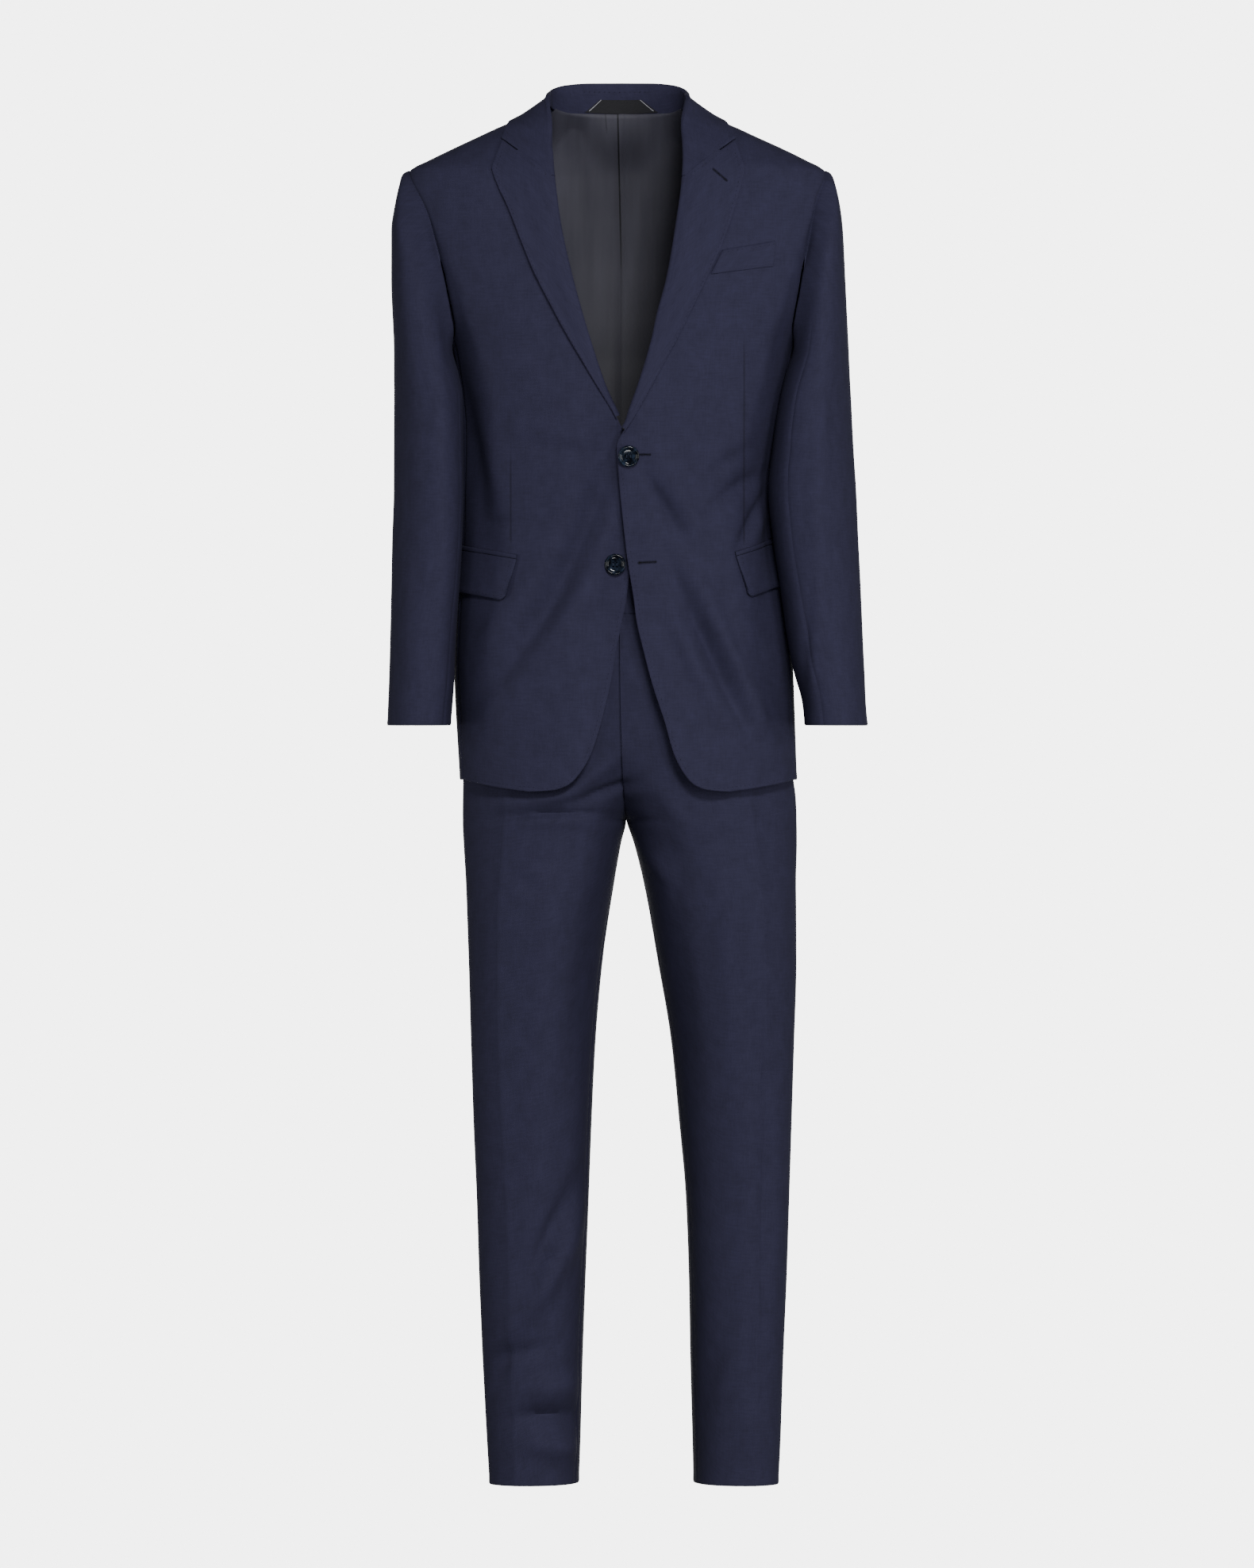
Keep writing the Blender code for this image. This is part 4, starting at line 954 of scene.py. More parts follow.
def rollFrame(side, z):
    # the front edge at a height, its outward direction, and the way beyond it
    edge, normal = onFront(side, frontEdge[side](z), np.asarray(z, float))
    lower, _ = onFront(side, frontEdge[side](z - 4), np.asarray(z - 4, float))
    beyond = unit(np.cross(unit(lower - edge), normal)) * sides[side]
    return edge, normal, beyond


def lapelRow(side, t, share):
    # one row from the roll to the outer edge, t of the way from the gorge to the foot
    rollFoot, edgeFoot = lapel["foot"][side]
    rollZ, edgeZ = mixed(lapel["gorgeAtRoll"], rollFoot, t), mixed(lapelEdgeTable[0][0], edgeFoot, t)
    rollX, edgeX = frontEdge[side](rollZ), lapelEdge[side](edgeZ)
    turns = np.radians(np.linspace(*lapel["rollTurn"], 9))
    row, ways = rolled(*rollFrame(side, rollZ), turns, lapel["rollRadius"])
    width = float(edgeX - rollX)
    belly = lapel["belly"] * (1 - np.exp(-share * max(width, 1.0) / lapel["bellyRise"]))
    belly = belly * (1 - smooth(share * 1.1))
    wide = min(1.0, max(width, 0.0) / lapel["fullWidth"])
    lift = lapel["edgeLift"][side] * wide * share ** 3 * (0.1 + 0.9 * float(smooth(t * 1.6)))
    out = jacket["lyingGap"] + jacket["cloth"] + belly * wide + lift
    notch, (atRoll, atNotch, fade) = lapel["notch"], lapel["gorgeClose"]
    closed = mixed(atRoll, atNotch, np.minimum(share / notch, 1.0))
    closed = closed * (1 - ramp(share, notch, lapel["closeFade"]))
    z = mixed(rollZ, edgeZ, share) + closed * math.exp(-t * lapel["length"] / fade)
    lying, lyingWays = onFront(side, mixed(rollX, edgeX, share), z, out)
    return np.concatenate([row, lying]), np.concatenate([ways, lyingWays])


def beyondNotch(share):
    return ramp(share - lapel["notch"], *lapel["notchSpan"])


def addLapel(side):
    share = spreadShares(lapel["width"], lapel["columns"], (0.0, 1.0, 3.0, 7.0))
    share = np.concatenate([np.linspace(0, 0.07, 4)[1:], share[share > 0.08]])
    rows = [lapelRow(side, t, share) for t in spreadShares(lapel["length"], lapel["rows"])]
    points, normals = np.array([row[0] for row in rows]), np.array([row[1] for row in rows])
    inNotch = np.concatenate([np.zeros(points.shape[1] - len(share)), beyondNotch(share)])
    soft = 0.4 + 0.6 * smooth(lengthDown(points) / 90)  # the corner lies flatter than the foot
    relief = edgeRelief(points, last="free") * soft + edgeRelief(points, top="free") * inNotch
    points = raised(points, normals, relief)
    name = named("lapel", side)
    piece = clothWall(name, points, normals, flatMap(points), "wool", ["lapel_" + side])
    declareSheet(points)
    return points, normals


collarColumns = ("place", "seamZ", "seamAngle", "stand", "fallZ", "fallAngle")
collarTable = (
    (0, -71.2, None, 4.2, -28.8, -41),
    (1, -58, None, 4.3, -25, -38),
    (2, -44, None, 4.7, -20.5, -33),
    (3, -30, None, 5.6, -15.5, -27),
    (4, -16, None, 7.2, -11.5, -19),
    (5, -4, None, 9.5, -8.5, -10),
    (6, 3, None, 12, -7.2, -5),
    (7, 8, 0, 15, -6.5, 0),
    (8, 7, 18, 19.7, -7, 14),
    (9, 5.5, 34, 26.3, -8, 30),
    (10, 3.4, 50, 32.2, -9, 47),
    (11, 1.2, 70, 37, -9.7, 69),
    (12, 0, 90, 38.6, -10, 90),
)
collar = {
    "backRadius": 7.5,
    "leanIn": 0.12,
    "leanForward": 0.1,
    "belly": (0.8, 1.0),  # the fall's swell in front and behind, and beside the neck
    "bellyPlace": (7.4, 1.9),
    "straight": 0.75,     # how straight it hangs beside the neck
    "standSpan": (8, 22),       # a stand this high begins to be the back's, over this much
    "leanSpan": (-30, 38),      # by the seam's height
    "turns": (135, 176, 0.25),  # first turn in front and behind, and the last one's share
    "seamBlend": (5.6, 1.4),    # by place: from the front's edge to the back's neck
    "besideBlend": (3.2, 2.6),  # and where the fall hangs straight, beside and behind the neck
    "behindBlend": (8.5, 3.0),
    "rowsPerStep": 7,
    "turnSteps": 12,
    "fallSteps": 14,
}


def collarCurves(side):
    # the seam follows the front edge up to the neck point, then the back's neck
    rows = []
    for place, seamZ, angle, *others in collarTable:
        if angle is None:
            angle = math.degrees(float(frontAngle(side, frontEdge[side](seamZ), seamZ)))
        rows.append((place, seamZ, angle, *others))
    return curves(collarColumns, rows)


def collarRow(side, place, at):
    at = {name: float(curve(place)) for name, curve in at.items()}
    back = float(ramp(at["stand"], *collar["standSpan"]))
    seamZ, seamAngle = at["seamZ"], math.radians(at["seamAngle"])
    if place <= 6:
        seamAngle = float(frontAngle(side, frontEdge[side](seamZ), seamZ))
        edge, normal, beyond = rollFrame(side, seamZ)
        lean = float(ramp(seamZ, *collar["leanSpan"]))
    else:
        edge, normal = onJacket(side, np.asarray(seamAngle), np.asarray(seamZ))
        beyond, lean = np.array([0.0, 0.0, 1.0]), 1.0
    upright = unit(np.array([
        -collar["leanIn"] * sides[side] * (1 - back), -collar["leanForward"], 1.0,
    ]))
    beyond = unit(mixed(beyond, upright, lean))
    normal = unit(normal - beyond * float(normal @ beyond))
    reach = mixed(lapel["rollRadius"], collar["backRadius"], back)
    inFront, behind, last = collar["turns"]
    first = mixed(inFront, behind, back)
    turns = np.radians(np.linspace(first, first * last, collar["turnSteps"]))
    points, ways = rolled(edge, normal, beyond, turns, reach, at["stand"] - lapel["rollRadius"])
    fallAngle, fallZ = math.radians(at["fallAngle"]), at["fallZ"]
    share = np.concatenate([np.linspace(0, 0.9, collar["fallSteps"] - 3), (0.955, 0.985, 1.0)])
    lying = jacket["lyingGap"] + jacket["cloth"]
    z = mixed(seamZ, fallZ, share)
    middle, reachOut = collar["bellyPlace"]
    swell = mixed(*collar["belly"], math.exp(-((place - middle) / reachOut) ** 2))
    standOff = mixed(reach - jacket["cloth"] / 2, lying, share) + swell * np.sin(math.pi * share) ** 1.3
    seamX = abs(float(torsoPoint(side, seamAngle, seamZ)[0]))
    fallX = abs(float(torsoPoint(side, fallAngle, fallZ)[0]))
    byEdge, edgeWays = onFront(side, mixed(seamX, fallX, share), z, standOff)
    byAngle, angleWays = onJacket(side, mixed(seamAngle, fallAngle, share), z, standOff)
    blend = float(ramp(place, *collar["seamBlend"]))
    fall, fallWays = mixed(byEdge, byAngle, blend), unit(mixed(edgeWays, angleWays, blend))
    # beside and behind the neck the fall hangs straight from the fold to its outer edge
    straight = mixed(points[-1], fall[-1], share[:, None])
    beside = collar["straight"] * ramp(place, *collar["besideBlend"])
    fall = mixed(fall, straight, mixed(beside, 1.0, ramp(place, *collar["behindBlend"])))
    return np.concatenate([points, fall]), np.concatenate([ways, fallWays])


def addCollar():
    steps = np.linspace(0, 12, 12 * collar["rowsPerStep"] + 1)
    right, left = collarCurves("right"), collarCurves("left")
    rows = [collarRow("right", place, right) for place in steps]
    rows += [collarRow("left", place, left) for place in steps[-2::-1]]
    points = np.array([row[0] for row in rows])
    normals = unit(np.array([row[1] for row in rows]))
    share = np.concatenate([np.zeros(collar["turnSteps"]), np.linspace(0, 1, collar["fallSteps"])])
    ends = edgeRelief(points, top="free", bottom="free") * beyondNotch(share)
    points = raised(points, normals, ends + edgeRelief(points, last="free"))
    uv = stacked(lengthDown(points), lengthAcross(points))
    piece = clothWall("collarCloth", points, normals, uv, "wool", ["collar"])
    declareSheet(points)
    return points, normals


lapelGrids = {side: addLapel(side) for side in sides}
collarGrid = addCollar()
print("lapels and collar made")


# pockets: flaps, jets and the chest welt

pocket = {
    "frontEnd": {"left": (121.9, -483.2, 17.0), "right": (114.5, -486.5, 12.0)},
    "flapBackAngle": math.radians(6),
    "flapLength": 148.0,
    "flapHeight": 45.0,
    "flapCorner": 9.0,
    "flapSlant": math.radians(3.4),
    "flapOut": (2.8, 1.1, 0.5),  # how far it stands off, and what it gains down to its foot
    "jetRows": (  # drop below the pocket's line, and how far it stands off
        (-5.2, 1.6), (-4.9, 2.3), (-4.2, 2.6), (-2.8, 2.7), (-1.4, 2.6), (-0.6, 2.3), (-0.2, 1.7),
    ),
    "cloth": 1.5,
    "weltInner": ((107.0, -152.6), (95.0, -178.4)),
    "weltOuter": ((165.1, -141.8), (162.5, -168.7)),
    "weltOut": 2.4,
    "weltSize": (66.0, 26.0),
    "weltCells": (34, 16),
}


def pocketStrip(side, shares, drops, outs, corner=0.0, slant=0.0):
    frontX, frontZ, rise = pocket["frontEnd"][side]
    start = float(frontAngle(side, frontX, frontZ))
    share, drop = np.meshgrid(shares, drops)
    out = np.broadcast_to(np.asarray(outs)[:, None], share.shape)
    angle = mixed(start, pocket["flapBackAngle"], share)
    z = frontZ + rise * (1 - (1 - share) ** 2)
    ends = np.minimum(share, 1 - share) * pocket["flapLength"]
    roundOff = np.maximum(corner - ends, 0.0)
    lift = corner - np.sqrt(np.maximum(corner ** 2 - roundOff ** 2, 0.0))
    low = drop / pocket["flapHeight"]
    depth = drop - lift * smooth(low)
    return onJacket(side, angle + slant * low * (1 - share), z - depth, out)


def addJet(side):
    drops, outs = np.array(pocket["jetRows"]).T
    points, normals = pocketStrip(side, np.linspace(0, 1, 50), drops, outs)
    name, nodes = named("jet", side), ["pocket_jet_" + side]
    return clothWall(name, points, normals, flatMap(points), "wool", nodes, pocket["cloth"])


def addFlap(side):
    edge = np.array([0, 0.005, 0.014, 0.03, 0.045, 0.06])
    shares = np.concatenate([edge, np.linspace(0.075, 0.925, 30), 1 - edge[::-1]])
    drops = np.concatenate([np.linspace(0, 40, 12), (42.0, 43.6, 44.5, 45.0)])
    out, lower, foot = pocket["flapOut"]
    outs = out + lower * ramp(drops, 0, 35) + foot * ramp(drops, 30, 15)
    points, normals = pocketStrip(side, shares, drops, outs, pocket["flapCorner"], pocket["flapSlant"])
    points = raised(points, normals, edgeRelief(points, first="free", last="free", bottom="free"))
    jet = addJet(side)
    name, nodes = named("flap", side), ["flap_" + side]
    piece = clothWall(name, points, normals, flatMap(points), "wool", nodes, pocket["cloth"])
    declareSheet(points)
    return points, normals


def addWelt():
    inner, outer = np.array(pocket["weltInner"]), np.array(pocket["weltOuter"])
    near = (0.0, 0.5, 1.4, 3.0)
    (width, height), (columns, rows) = pocket["weltSize"], pocket["weltCells"]
    down, along = spreadShares(height, rows, near), spreadShares(width, columns, near)
    start, end = mixed(inner[0], inner[1], down[:, None]), mixed(outer[0], outer[1], down[:, None])
    places = mixed(start[:, None], end[:, None], along[None, :, None])
    points, normals = onFront("left", places[..., 0], places[..., 1], pocket["weltOut"])
    relief = edgeRelief(points, first="free", last="free", top="free", bottom="seam")
    points = raised(points, normals, relief)
    uv = flatMap(points)
    piece = clothWall("chestWelt", points, normals, uv, "wool", ["chest_welt"], pocket["cloth"])
    declareSheet(points)
    return points, normals


flapGrids = {side: addFlap(side) for side in sides}
weltGrid = addWelt()
print("pockets made")


# back lining with its centre pleat, and the bare neck label

liningColumns = ("z", "outerZ", "outerAngle")
liningTable = (
    (4.2, 2.6, 32),
    (-22, -18, 36),
    (-45, -43, 38),
    (-70, -70, 40),
    (-140, -140, 40),
    (-240, -240, 40),
    (-340, -340, 40),
    (-420, -420, 40),
)
liningForm = {
    "depth": 5.2,
    "pleatLap": ((-420, -150, 5), (2.0, 1.9, 5.4)),   # by height
    "pleatLift": ((-420, -200, -120, 5), (0.5, 0.8, 2.2, 2.4)),
    "pleatReach": 5.0,
    "pleatColumns": 6,
    "pleatUv": 9.0,
    "middleGap": 0.4,
    "topZ": 3.8,          # the top edge lies over the foot of the collar's stand
    "topLift": 0.9,
    "topFade": 26.0,
    "topRows": 16.0,      # rows lie closer together down to here
    "standSpan": (-76.5, 64.5),
    "hang": (0.33, 1.2),  # how fast it falls back below the stand, in the middle and by the sides
    "hangSpan": (15, 50),
    "hangLow": (4, 55),   # the hang fades from this far below the stand, over this much
    "ripples": ((0.63, 9.0), (0.42, 4.7)),  # height and length of the broad and the fine ones
    "sway": (0.8, 70.0),
    "rippleFade": 30.0,
    "thickness": 0.6,
    "rows": 90,
    "columns": 44,
}


def standPoint(x, height):
    # a place on the inside of the collar's stand, from its seam to its fold
    middle = len(collarGrid[0]) // 2
    span = slice(middle - 24, middle + 25)
    low, high = collarGrid[0][span, 0], collarGrid[0][span, 3]
    ways = collarGrid[1][span, 1]
    order = np.argsort(low[:, 0])
    places = low[order, 0]

    def read(values):
        return np.stack([np.interp(x, places, values[order, i]) for i in range(3)], axis=-1)

    return mixed(read(low), read(high), height[..., None]), unit(read(ways))


def overStand(points):
    # carries the lining's top over the foot of the stand and keeps it in front of it
    form = liningForm
    x = np.clip(points[0, :, 0], *form["standSpan"])
    foot, head = standPoint(x, np.zeros(len(x)))[0], standPoint(x, np.ones(len(x)))[0]
    target = np.maximum(form["topZ"], foot[:, 2] + 1.0)
    top, ways = standPoint(x, (target - foot[:, 2]) / (head[:, 2] - foot[:, 2]))
    shift = top + ways * form["topLift"] - points[0]
    points = points + shift[None] * (1 - smooth(lengthDown(points) / form["topFade"]))[..., None]
    foot = standPoint(np.clip(points[..., 0], *form["standSpan"]), np.zeros(points.shape[:2]))[0]
    below = np.maximum(foot[..., 2] - points[..., 2], 0.0)
    slope = mixed(*form["hang"], ramp(np.abs(points[..., 0]), *form["hangSpan"]))
    limit = foot[..., 1] - form["topLift"] + slope * below
    over = np.maximum(points[..., 1] - limit, 0.0)
    points[..., 1] -= over * (1 - ramp(below, *form["hangLow"]))
    return points


def addLining(side):
    form = liningForm
    at = curves(liningColumns, liningTable)
    top, low = liningTable[0][0], liningTable[-1][0]
    near = top - form["topRows"]
    z = np.concatenate([np.linspace(top, near, 13)[:-1], np.linspace(near, low, form["rows"])])
    starts, middle = stacked(np.radians(at["outerAngle"](z)), at["outerZ"](z)), math.radians(90)
    ends = stacked(middle, z)
    points, normals, uv = jacketStrip(side, starts, ends, form["columns"], middle, -form["depth"])
    points = points - normals * foldRelief(points, normals, jacketFolds)[..., None]
    x = points[..., 0]
    (broad, broadLength), (fine, fineLength) = form["ripples"]
    sway, swayLength = form["sway"]
    ripple = broad * np.sin(x / broadLength + sway * np.sin(points[..., 2] / swayLength))
    ripple = ripple + fine * np.sin(x / fineLength + 1.0)
    ripple = ripple * smooth(lengthDown(points) / form["rippleFade"])
    points = overStand(raised(points, normals, -ripple))
    if side == "left":  # this half laps over the other along the centre pleat
        lap = np.linspace(0, 1, form["pleatColumns"] + 1)[1:]
        away = lengthAcross(points)[:, -1:] - lengthAcross(points)
        lift = Curve(*form["pleatLift"])(z)[:, None]
        points[..., 1] -= lift * np.exp(-away / form["pleatReach"])
        reach = Curve(*form["pleatLap"])(z)[:, None, None] * lap[None, :, None]
        points = np.concatenate([points, points[:, -1:] - reach * (1, 0, 0)], axis=1)
        tailNormals = np.repeat(normals[:, -1:], form["pleatColumns"], axis=1)
        normals = np.concatenate([normals, tailNormals], axis=1)
        tailUv = uv[:, -1:] - stacked(lap * form["pleatUv"], 0)[None]
        uv = np.concatenate([uv, tailUv], axis=1)
    else:
        points[:, -1, 0] -= form["middleGap"]
    name, nodes = named("lining", side), ["back_lining_" + side]
    piece = clothWall(name, points, normals, uv, "lining", nodes, -form["thickness"])
    declareSheet(points)


labelForm = {
    "rows": ((0.53, -25.5, 20.4), (0.33, -33.5, 29.2), (0.12, -42, 38.4)),  # height, start, end
    "standOff": 1.4,
    "thickness": 0.7,
    "lines": {"labelLineRight": 0.035, "labelLineLeft": 0.965},  # how far along they lie
    "lineHalf": 0.009,
    "lineLift": 0.12,
}


def labelGrid(shares, rows, out):
    # a band of the label across the stand, between two shares of its length
    table = np.array(labelForm["rows"])
    down = np.linspace(0, 1, 9)[:rows]
    heights, starts, ends = (np.interp(down, (0, 0.5, 1), table[:, i])[:, None] for i in range(3))
    x = mixed(starts, ends, shares)
    points, normals = standPoint(x, np.broadcast_to(heights, x.shape))
    points = points + normals * out
    return points, normals, stacked(x, points[..., 2])


def addLabel():
    out = labelForm["standOff"]
    points, normals, uv = labelGrid(np.linspace(0, 1, 30), 9, out)
    nodes = ["neck_label"]
    piece = clothWall("neckLabel", points, normals, uv, "label", nodes, labelForm["thickness"])
    declareSheet(points)
    # a pale woven line just inside each slanted end
    for name, at in labelForm["lines"].items():
        band = at + labelForm["lineHalf"] * np.array([-1, 0, 1])
        line, ways, uv = labelGrid(band, 8, out + labelForm["lineLift"])
        clothWall(name, line, ways, uv, "labelEdge", (), 0.2)


for side in sides:
    addLining(side)
addLabel()
print("lining and label made")


# sleeves

sleeveColumns = ("z", "outer", "inner", "front", "back", "turn")
sleeveTable = (  # z, then outer and inner of the right and of the left one, then what they share
    (-60, (238, 187.5), (225, 187.5), 66, 76, 0),
    (-66, (241.5, 187.5), (228.5, 187.5), 68, 78, 0),
    (-75, (244, 187.5), (231.5, 187.5), 70, 79, 0),
    (-100, (249.4, 187.5), (237, 187.5), 74, 80, 0),
    (-126, (252.9, 187.5), (240, 187.5), 78, 80, 0),
    (-178, (252.9, 187.5), (242.5, 187.5), 82, 78, 0),
    (-258, (250, 184.5), (246.4, 183.5), 86, 70, 4),
    (-285, (249.8, 178), (247.4, 176), 90, 63, 7),
    (-307, (249.4, 174.5), (248.4, 171), 94, 58, 10),
    (-360, (249.4, 174), (250.6, 163.5), 101, 46, 13),
    (-411, (249.4, 173.6), (253.6, 158.5), 104, 38, 14),
    (-463, (251, 175), (255.8, 163.5), 105, 33, 14),
    (-515, (252, 178), (258.4, 171), 105, 29, 12),
    (-560, (253, 181), (260.4, 177), 105, 25, 9),
    (-596, None, (262, 183), 105, 21, 8),
    (-611, None, (262.8, 186.6), 105, 19, 7),
    (-620, (254.6, 183.6), None, 105, 18, 7),
    (-640, (255.4, 185), (264, 194.5), 105, 15, 6),
    (-666, (256.3, 187.2), (266, 197.5), 105, 12, 6),
)
sleeves = {side: sideCurves(side, sleeveColumns, sleeveTable) for side in sides}
sleeve = {
    "cuff": -666.0,
    "rows": 118,
    "crowding": 1.6,
    "power": 2.15,
    "clearance": 0.9,
    "halfDepth": 72.0,
    "blendShare": (0.024, 0.114),  # at the shoulder and from halfway down the armhole
    "blendTurn": 1.2,
    "pushFade": 16.0,
    "underarm": (140.0, 45.0),  # pushed off the side from this far down, whole this much lower
    "foldFade": 70.0,
    "seamSink": 2.4,      # how far the sleeve lies behind the front's edge at the armhole
    "sinkLength": 6.0,
    "sinkLow": (70.0, 80.0),  # it starts this far down, and is whole this much lower
    "frontSeam": {"right": -225, "left": -180},
    "backSeam": -154,
    "seamDepth": (0.2, 50, 80),  # at the armhole, then growing from here over this length
}
sleeveFolds = (
    # a long ridge down each arm, and soft breaks inside the elbow
    (1, -197, -400, -89, 340, 9, 3),
    (1, 212, -440, 88, 300, 10, 3.6),
    (1, -208, -352, -20, 60, 9, -1.8, 5),
    (1, -214, -376, -12, 66, 8, 1.5, 4),
    (1, 208, -350, 20, 60, 9, -1.8, 5),
    (1, 214, -376, 12, 66, 8, 1.5, 4),
    (1, -232, -250, -84, 180, 11, 1.8, 3),
    (1, 230, -150, 80, 80, 8, -1.8),
    (1, 200, -560, 84, 160, 6, -2.4, 3),
    (1, -232, -560, -86, 180, 12, 1.5, 3),
    (-1, -226, -300, -20, 70, 11, 1.6, 5),
    (-1, -222, -345, 14, 76, 10, -1.5, 4),
    (-1, -226, -180, -80, 160, 12, 1.3),
    (-1, 222, -300, 20, 70, 11, 1.6, 5),
    (-1, 220, -345, -14, 76, 10, -1.5, 4),
    (-1, 220, -180, 80, 160, 12, 1.3),
)


def armholeLoop():
    # the shoulder, down the front, under the arm and up the back
    down = np.append(jacket["shoulderTipZ"], armholeHeights()[:-1])
    under = np.linspace(jacket["frontSideSeam"], jacket["backSideSeam"], body["sideColumns"])
    up = down[:0:-1]
    front, back = stacked(armholeAngle("front", down), down), stacked(armholeAngle("back", up), up)
    return np.concatenate([front, stacked(under, underarmHeight(under)), back])


def sleeveSection(side, turn, z):
    at = {name: curve(z) for name, curve in sleeves[side].items()}
    halfX, halfY = (at["outer"] - at["inner"]) / 2, (at["front"] + at["back"]) / 2
    twist = np.radians(at["turn"])
    power = 2 / sleeve["power"]
    localX = halfX * signedPower(np.cos(turn), power)
    localY = -halfY * signedPower(np.sin(turn), power)
    x = localX * np.cos(twist) + localY * np.sin(twist)
    y = localY * np.cos(twist) - localX * np.sin(twist)
    x = x * halfX / np.hypot(halfX * np.cos(twist), halfY * np.sin(twist))
    middleX, middleY = (at["outer"] + at["inner"]) / 2, (at["back"] - at["front"]) / 2
    return stacked(sides[side] * (middleX + x), middleY + y, z)


def jacketDistance(points):
    x, y, z = points[..., 0], points[..., 1], points[..., 2]
    reach = torsoReach(x, y, z) ** (1 / jacket["sectionPower"])
    return (1 - 1 / reach) * np.hypot(x, y)


def pushOffJacket(points, normals, share):
    # keeps both faces of the sleeve clear of the jacket, except over the armhole's opening
    y, z = points[..., 1], points[..., 2]
    opening = np.where(y < 0, armhole["front"](z), armhole["back"](z))
    free = (z > jacket["armpitZ"]) & (np.abs(y) < opening - 2)
    inside = points - normals * jacket["cloth"]
    near = np.minimum(jacketDistance(points), jacketDistance(inside))
    push = np.maximum(sleeve["clearance"] - near, 0.0) * ~free
    return points + torsoNormal(points) * push[..., None] * share


def sleeveGrid(side):
    loop = armholeLoop()
    starts, startNormals = onJacket(side, loop[:, 0], loop[:, 1])
    top, low = jacket["shoulderTipZ"], jacket["armpitZ"] - jacket["armpitDrop"]
    high = (starts[:, 2] - (top + low) / 2) / ((top - low) / 2)
    turns = np.arctan2(-starts[:, 1] / sleeve["halfDepth"], high) % (2 * math.pi)
    turns[0] = 0.0
    down = np.concatenate([
        np.linspace(0, 1, sleeve["rows"] - 3)[:-1], (0.9925, 0.9965, 0.999, 1.0),
    ])[:, None]
    fromTop = np.minimum(turns, 2 * math.pi - turns)
    blend = mixed(*sleeve["blendShare"], smooth(fromTop / sleeve["blendTurn"]))
    hold = np.exp(-((down / blend) ** 2))
    z = mixed(starts[None, :, 2], sleeve["cuff"], down ** sleeve["crowding"])
    offset = starts - sleeveSection(side, turns, starts[:, 2])
    turn = np.broadcast_to(turns, z.shape)
    points = sleeveSection(side, turn, z) + offset[None] * hold[..., None]
    under = ramp(-points[0, :, 2], *sleeve["underarm"])[:, None]
    push = mixed(smooth(lengthDown(points) / sleeve["pushFade"])[..., None], 1.0, under)
    for _ in range(2):
        normals = gridNormals(points, wrap=True) * sides[side]
        points[1:] = pushOffJacket(points[1:], normals[1:], push[1:])
    normals = gridNormals(points, wrap=True) * sides[side]
    normals[0] = unit(mixed(startNormals, normals[1], under))
    points[0] = pushOffJacket(points[0], normals[0], under)
    run = lengthDown(points)
    rise = foldRelief(points, normals, sleeveFolds) * smooth(run / sleeve["foldFade"])
    inFront = ramp(-starts[:, 2], *sleeve["sinkLow"])
    inFront = inFront * (starts[:, 1] < 0) * (1 - under[:, 0])
    rise -= sleeve["seamSink"] * np.exp(-((run / sleeve["sinkLength"]) ** 2)) * inFront
    points = raised(points, normals, rise)
    points[1:] = pushOffJacket(points[1:], normals[1:], push[1:])
    return points, normals, loop


def addSleeve(side):
    points, normals, loop = sleeveGrid(side)
    half = len(loop) // 2
    frontSeam = int(np.argmin(np.abs(loop[:half, 1] - sleeve["frontSeam"][side])))
    backSeam = half + int(np.argmin(np.abs(loop[half:, 1] - sleeve["backSeam"])))
    top = list(range(backSeam, len(loop))) + list(range(0, frontSeam + 1))
    under = list(range(frontSeam, backSeam + 1))
    least, *span = sleeve["seamDepth"]
    for kind, columns in (("top", top), ("under", under)):
        part, ways = points[:, columns], normals[:, columns]
        fade = mixed(least, 1.0, ramp(lengthDown(part), *span))
        rise = edgeRelief(part, first="seam", last="seam") * fade
        rise = rise + edgeRelief(part, top="seam", bottom="free")
        part = backOff(raised(part, ways, rise), "first", "last")
        across = lengthAcross(part).mean(axis=0)[None] * sides[side]
        uv = stacked(across, -part[..., 2])
        name = named("sleeve", kind, side)
        piece = clothWall(name, part, ways, uv, "wool", ["sleeve_%s_%s" % (kind, side)])
        declareSheet(part)


for side in sides:
    addSleeve(side)
print("sleeves made")


# trousers

legColumns = ("z", "outer", "inner", "front", "back", "turn", "crease")
legTable = (  # z, then outer and inner of the right and of the left one, then what they share
    (-508, (-150, 0), (150, 0), 98, 86, 0, 48),
    (-560, (-163, 0), (163, 0), 106, 97, 0, 48),
    (-620, (-171, 0), (174, 0), 112, 106, 0, 48),
    (-680, (-173, 0), (181, 0), 113, 112, 0, 50),
    (-725, (-174.5, 0), (186, 0), 112, 113, 0, 54),
    (-745, None, (188.5, 0), 111, 112, 0, 57),
    (-769, (-175, 3.4), (189.5, 3.6), 110, 110, 0, 60),
    (-792, (-174, -1.7), (189.7, 11.3), 107, 107, 2, 62),
    (-836, (-171.5, -9.5), (188.8, 22.5), 103, 103, 5, 65),
    (-922, (-168, -22.5), (188.8, 38.1), 94, 94, 10, 72),
    (-1009, (-165.4, -30.3), (186.2, 52.8), 86, 86, 13, 76),
    (-1095, (-162.8, -34.6), (183.6, 61.5), 80, 82, 14, 79),
    (-1182, (-159.3, -38), (181, 69.3), 75, 80, 14, 82),
    (-1269, (-156.7, -41.6), (178.4, 72.7), 71, 80, 14, 84),
    (-1355, (-153.3, -45), (174.9, 74.5), 67, 81, 14, 85),
    (-1442, (-149, -47.6), (172.3, 77), 63, 82, 14, 85),
    (-1487, (-146.5, -49.4), (170.2, 78.2), 61, 83, 14, 85),
)
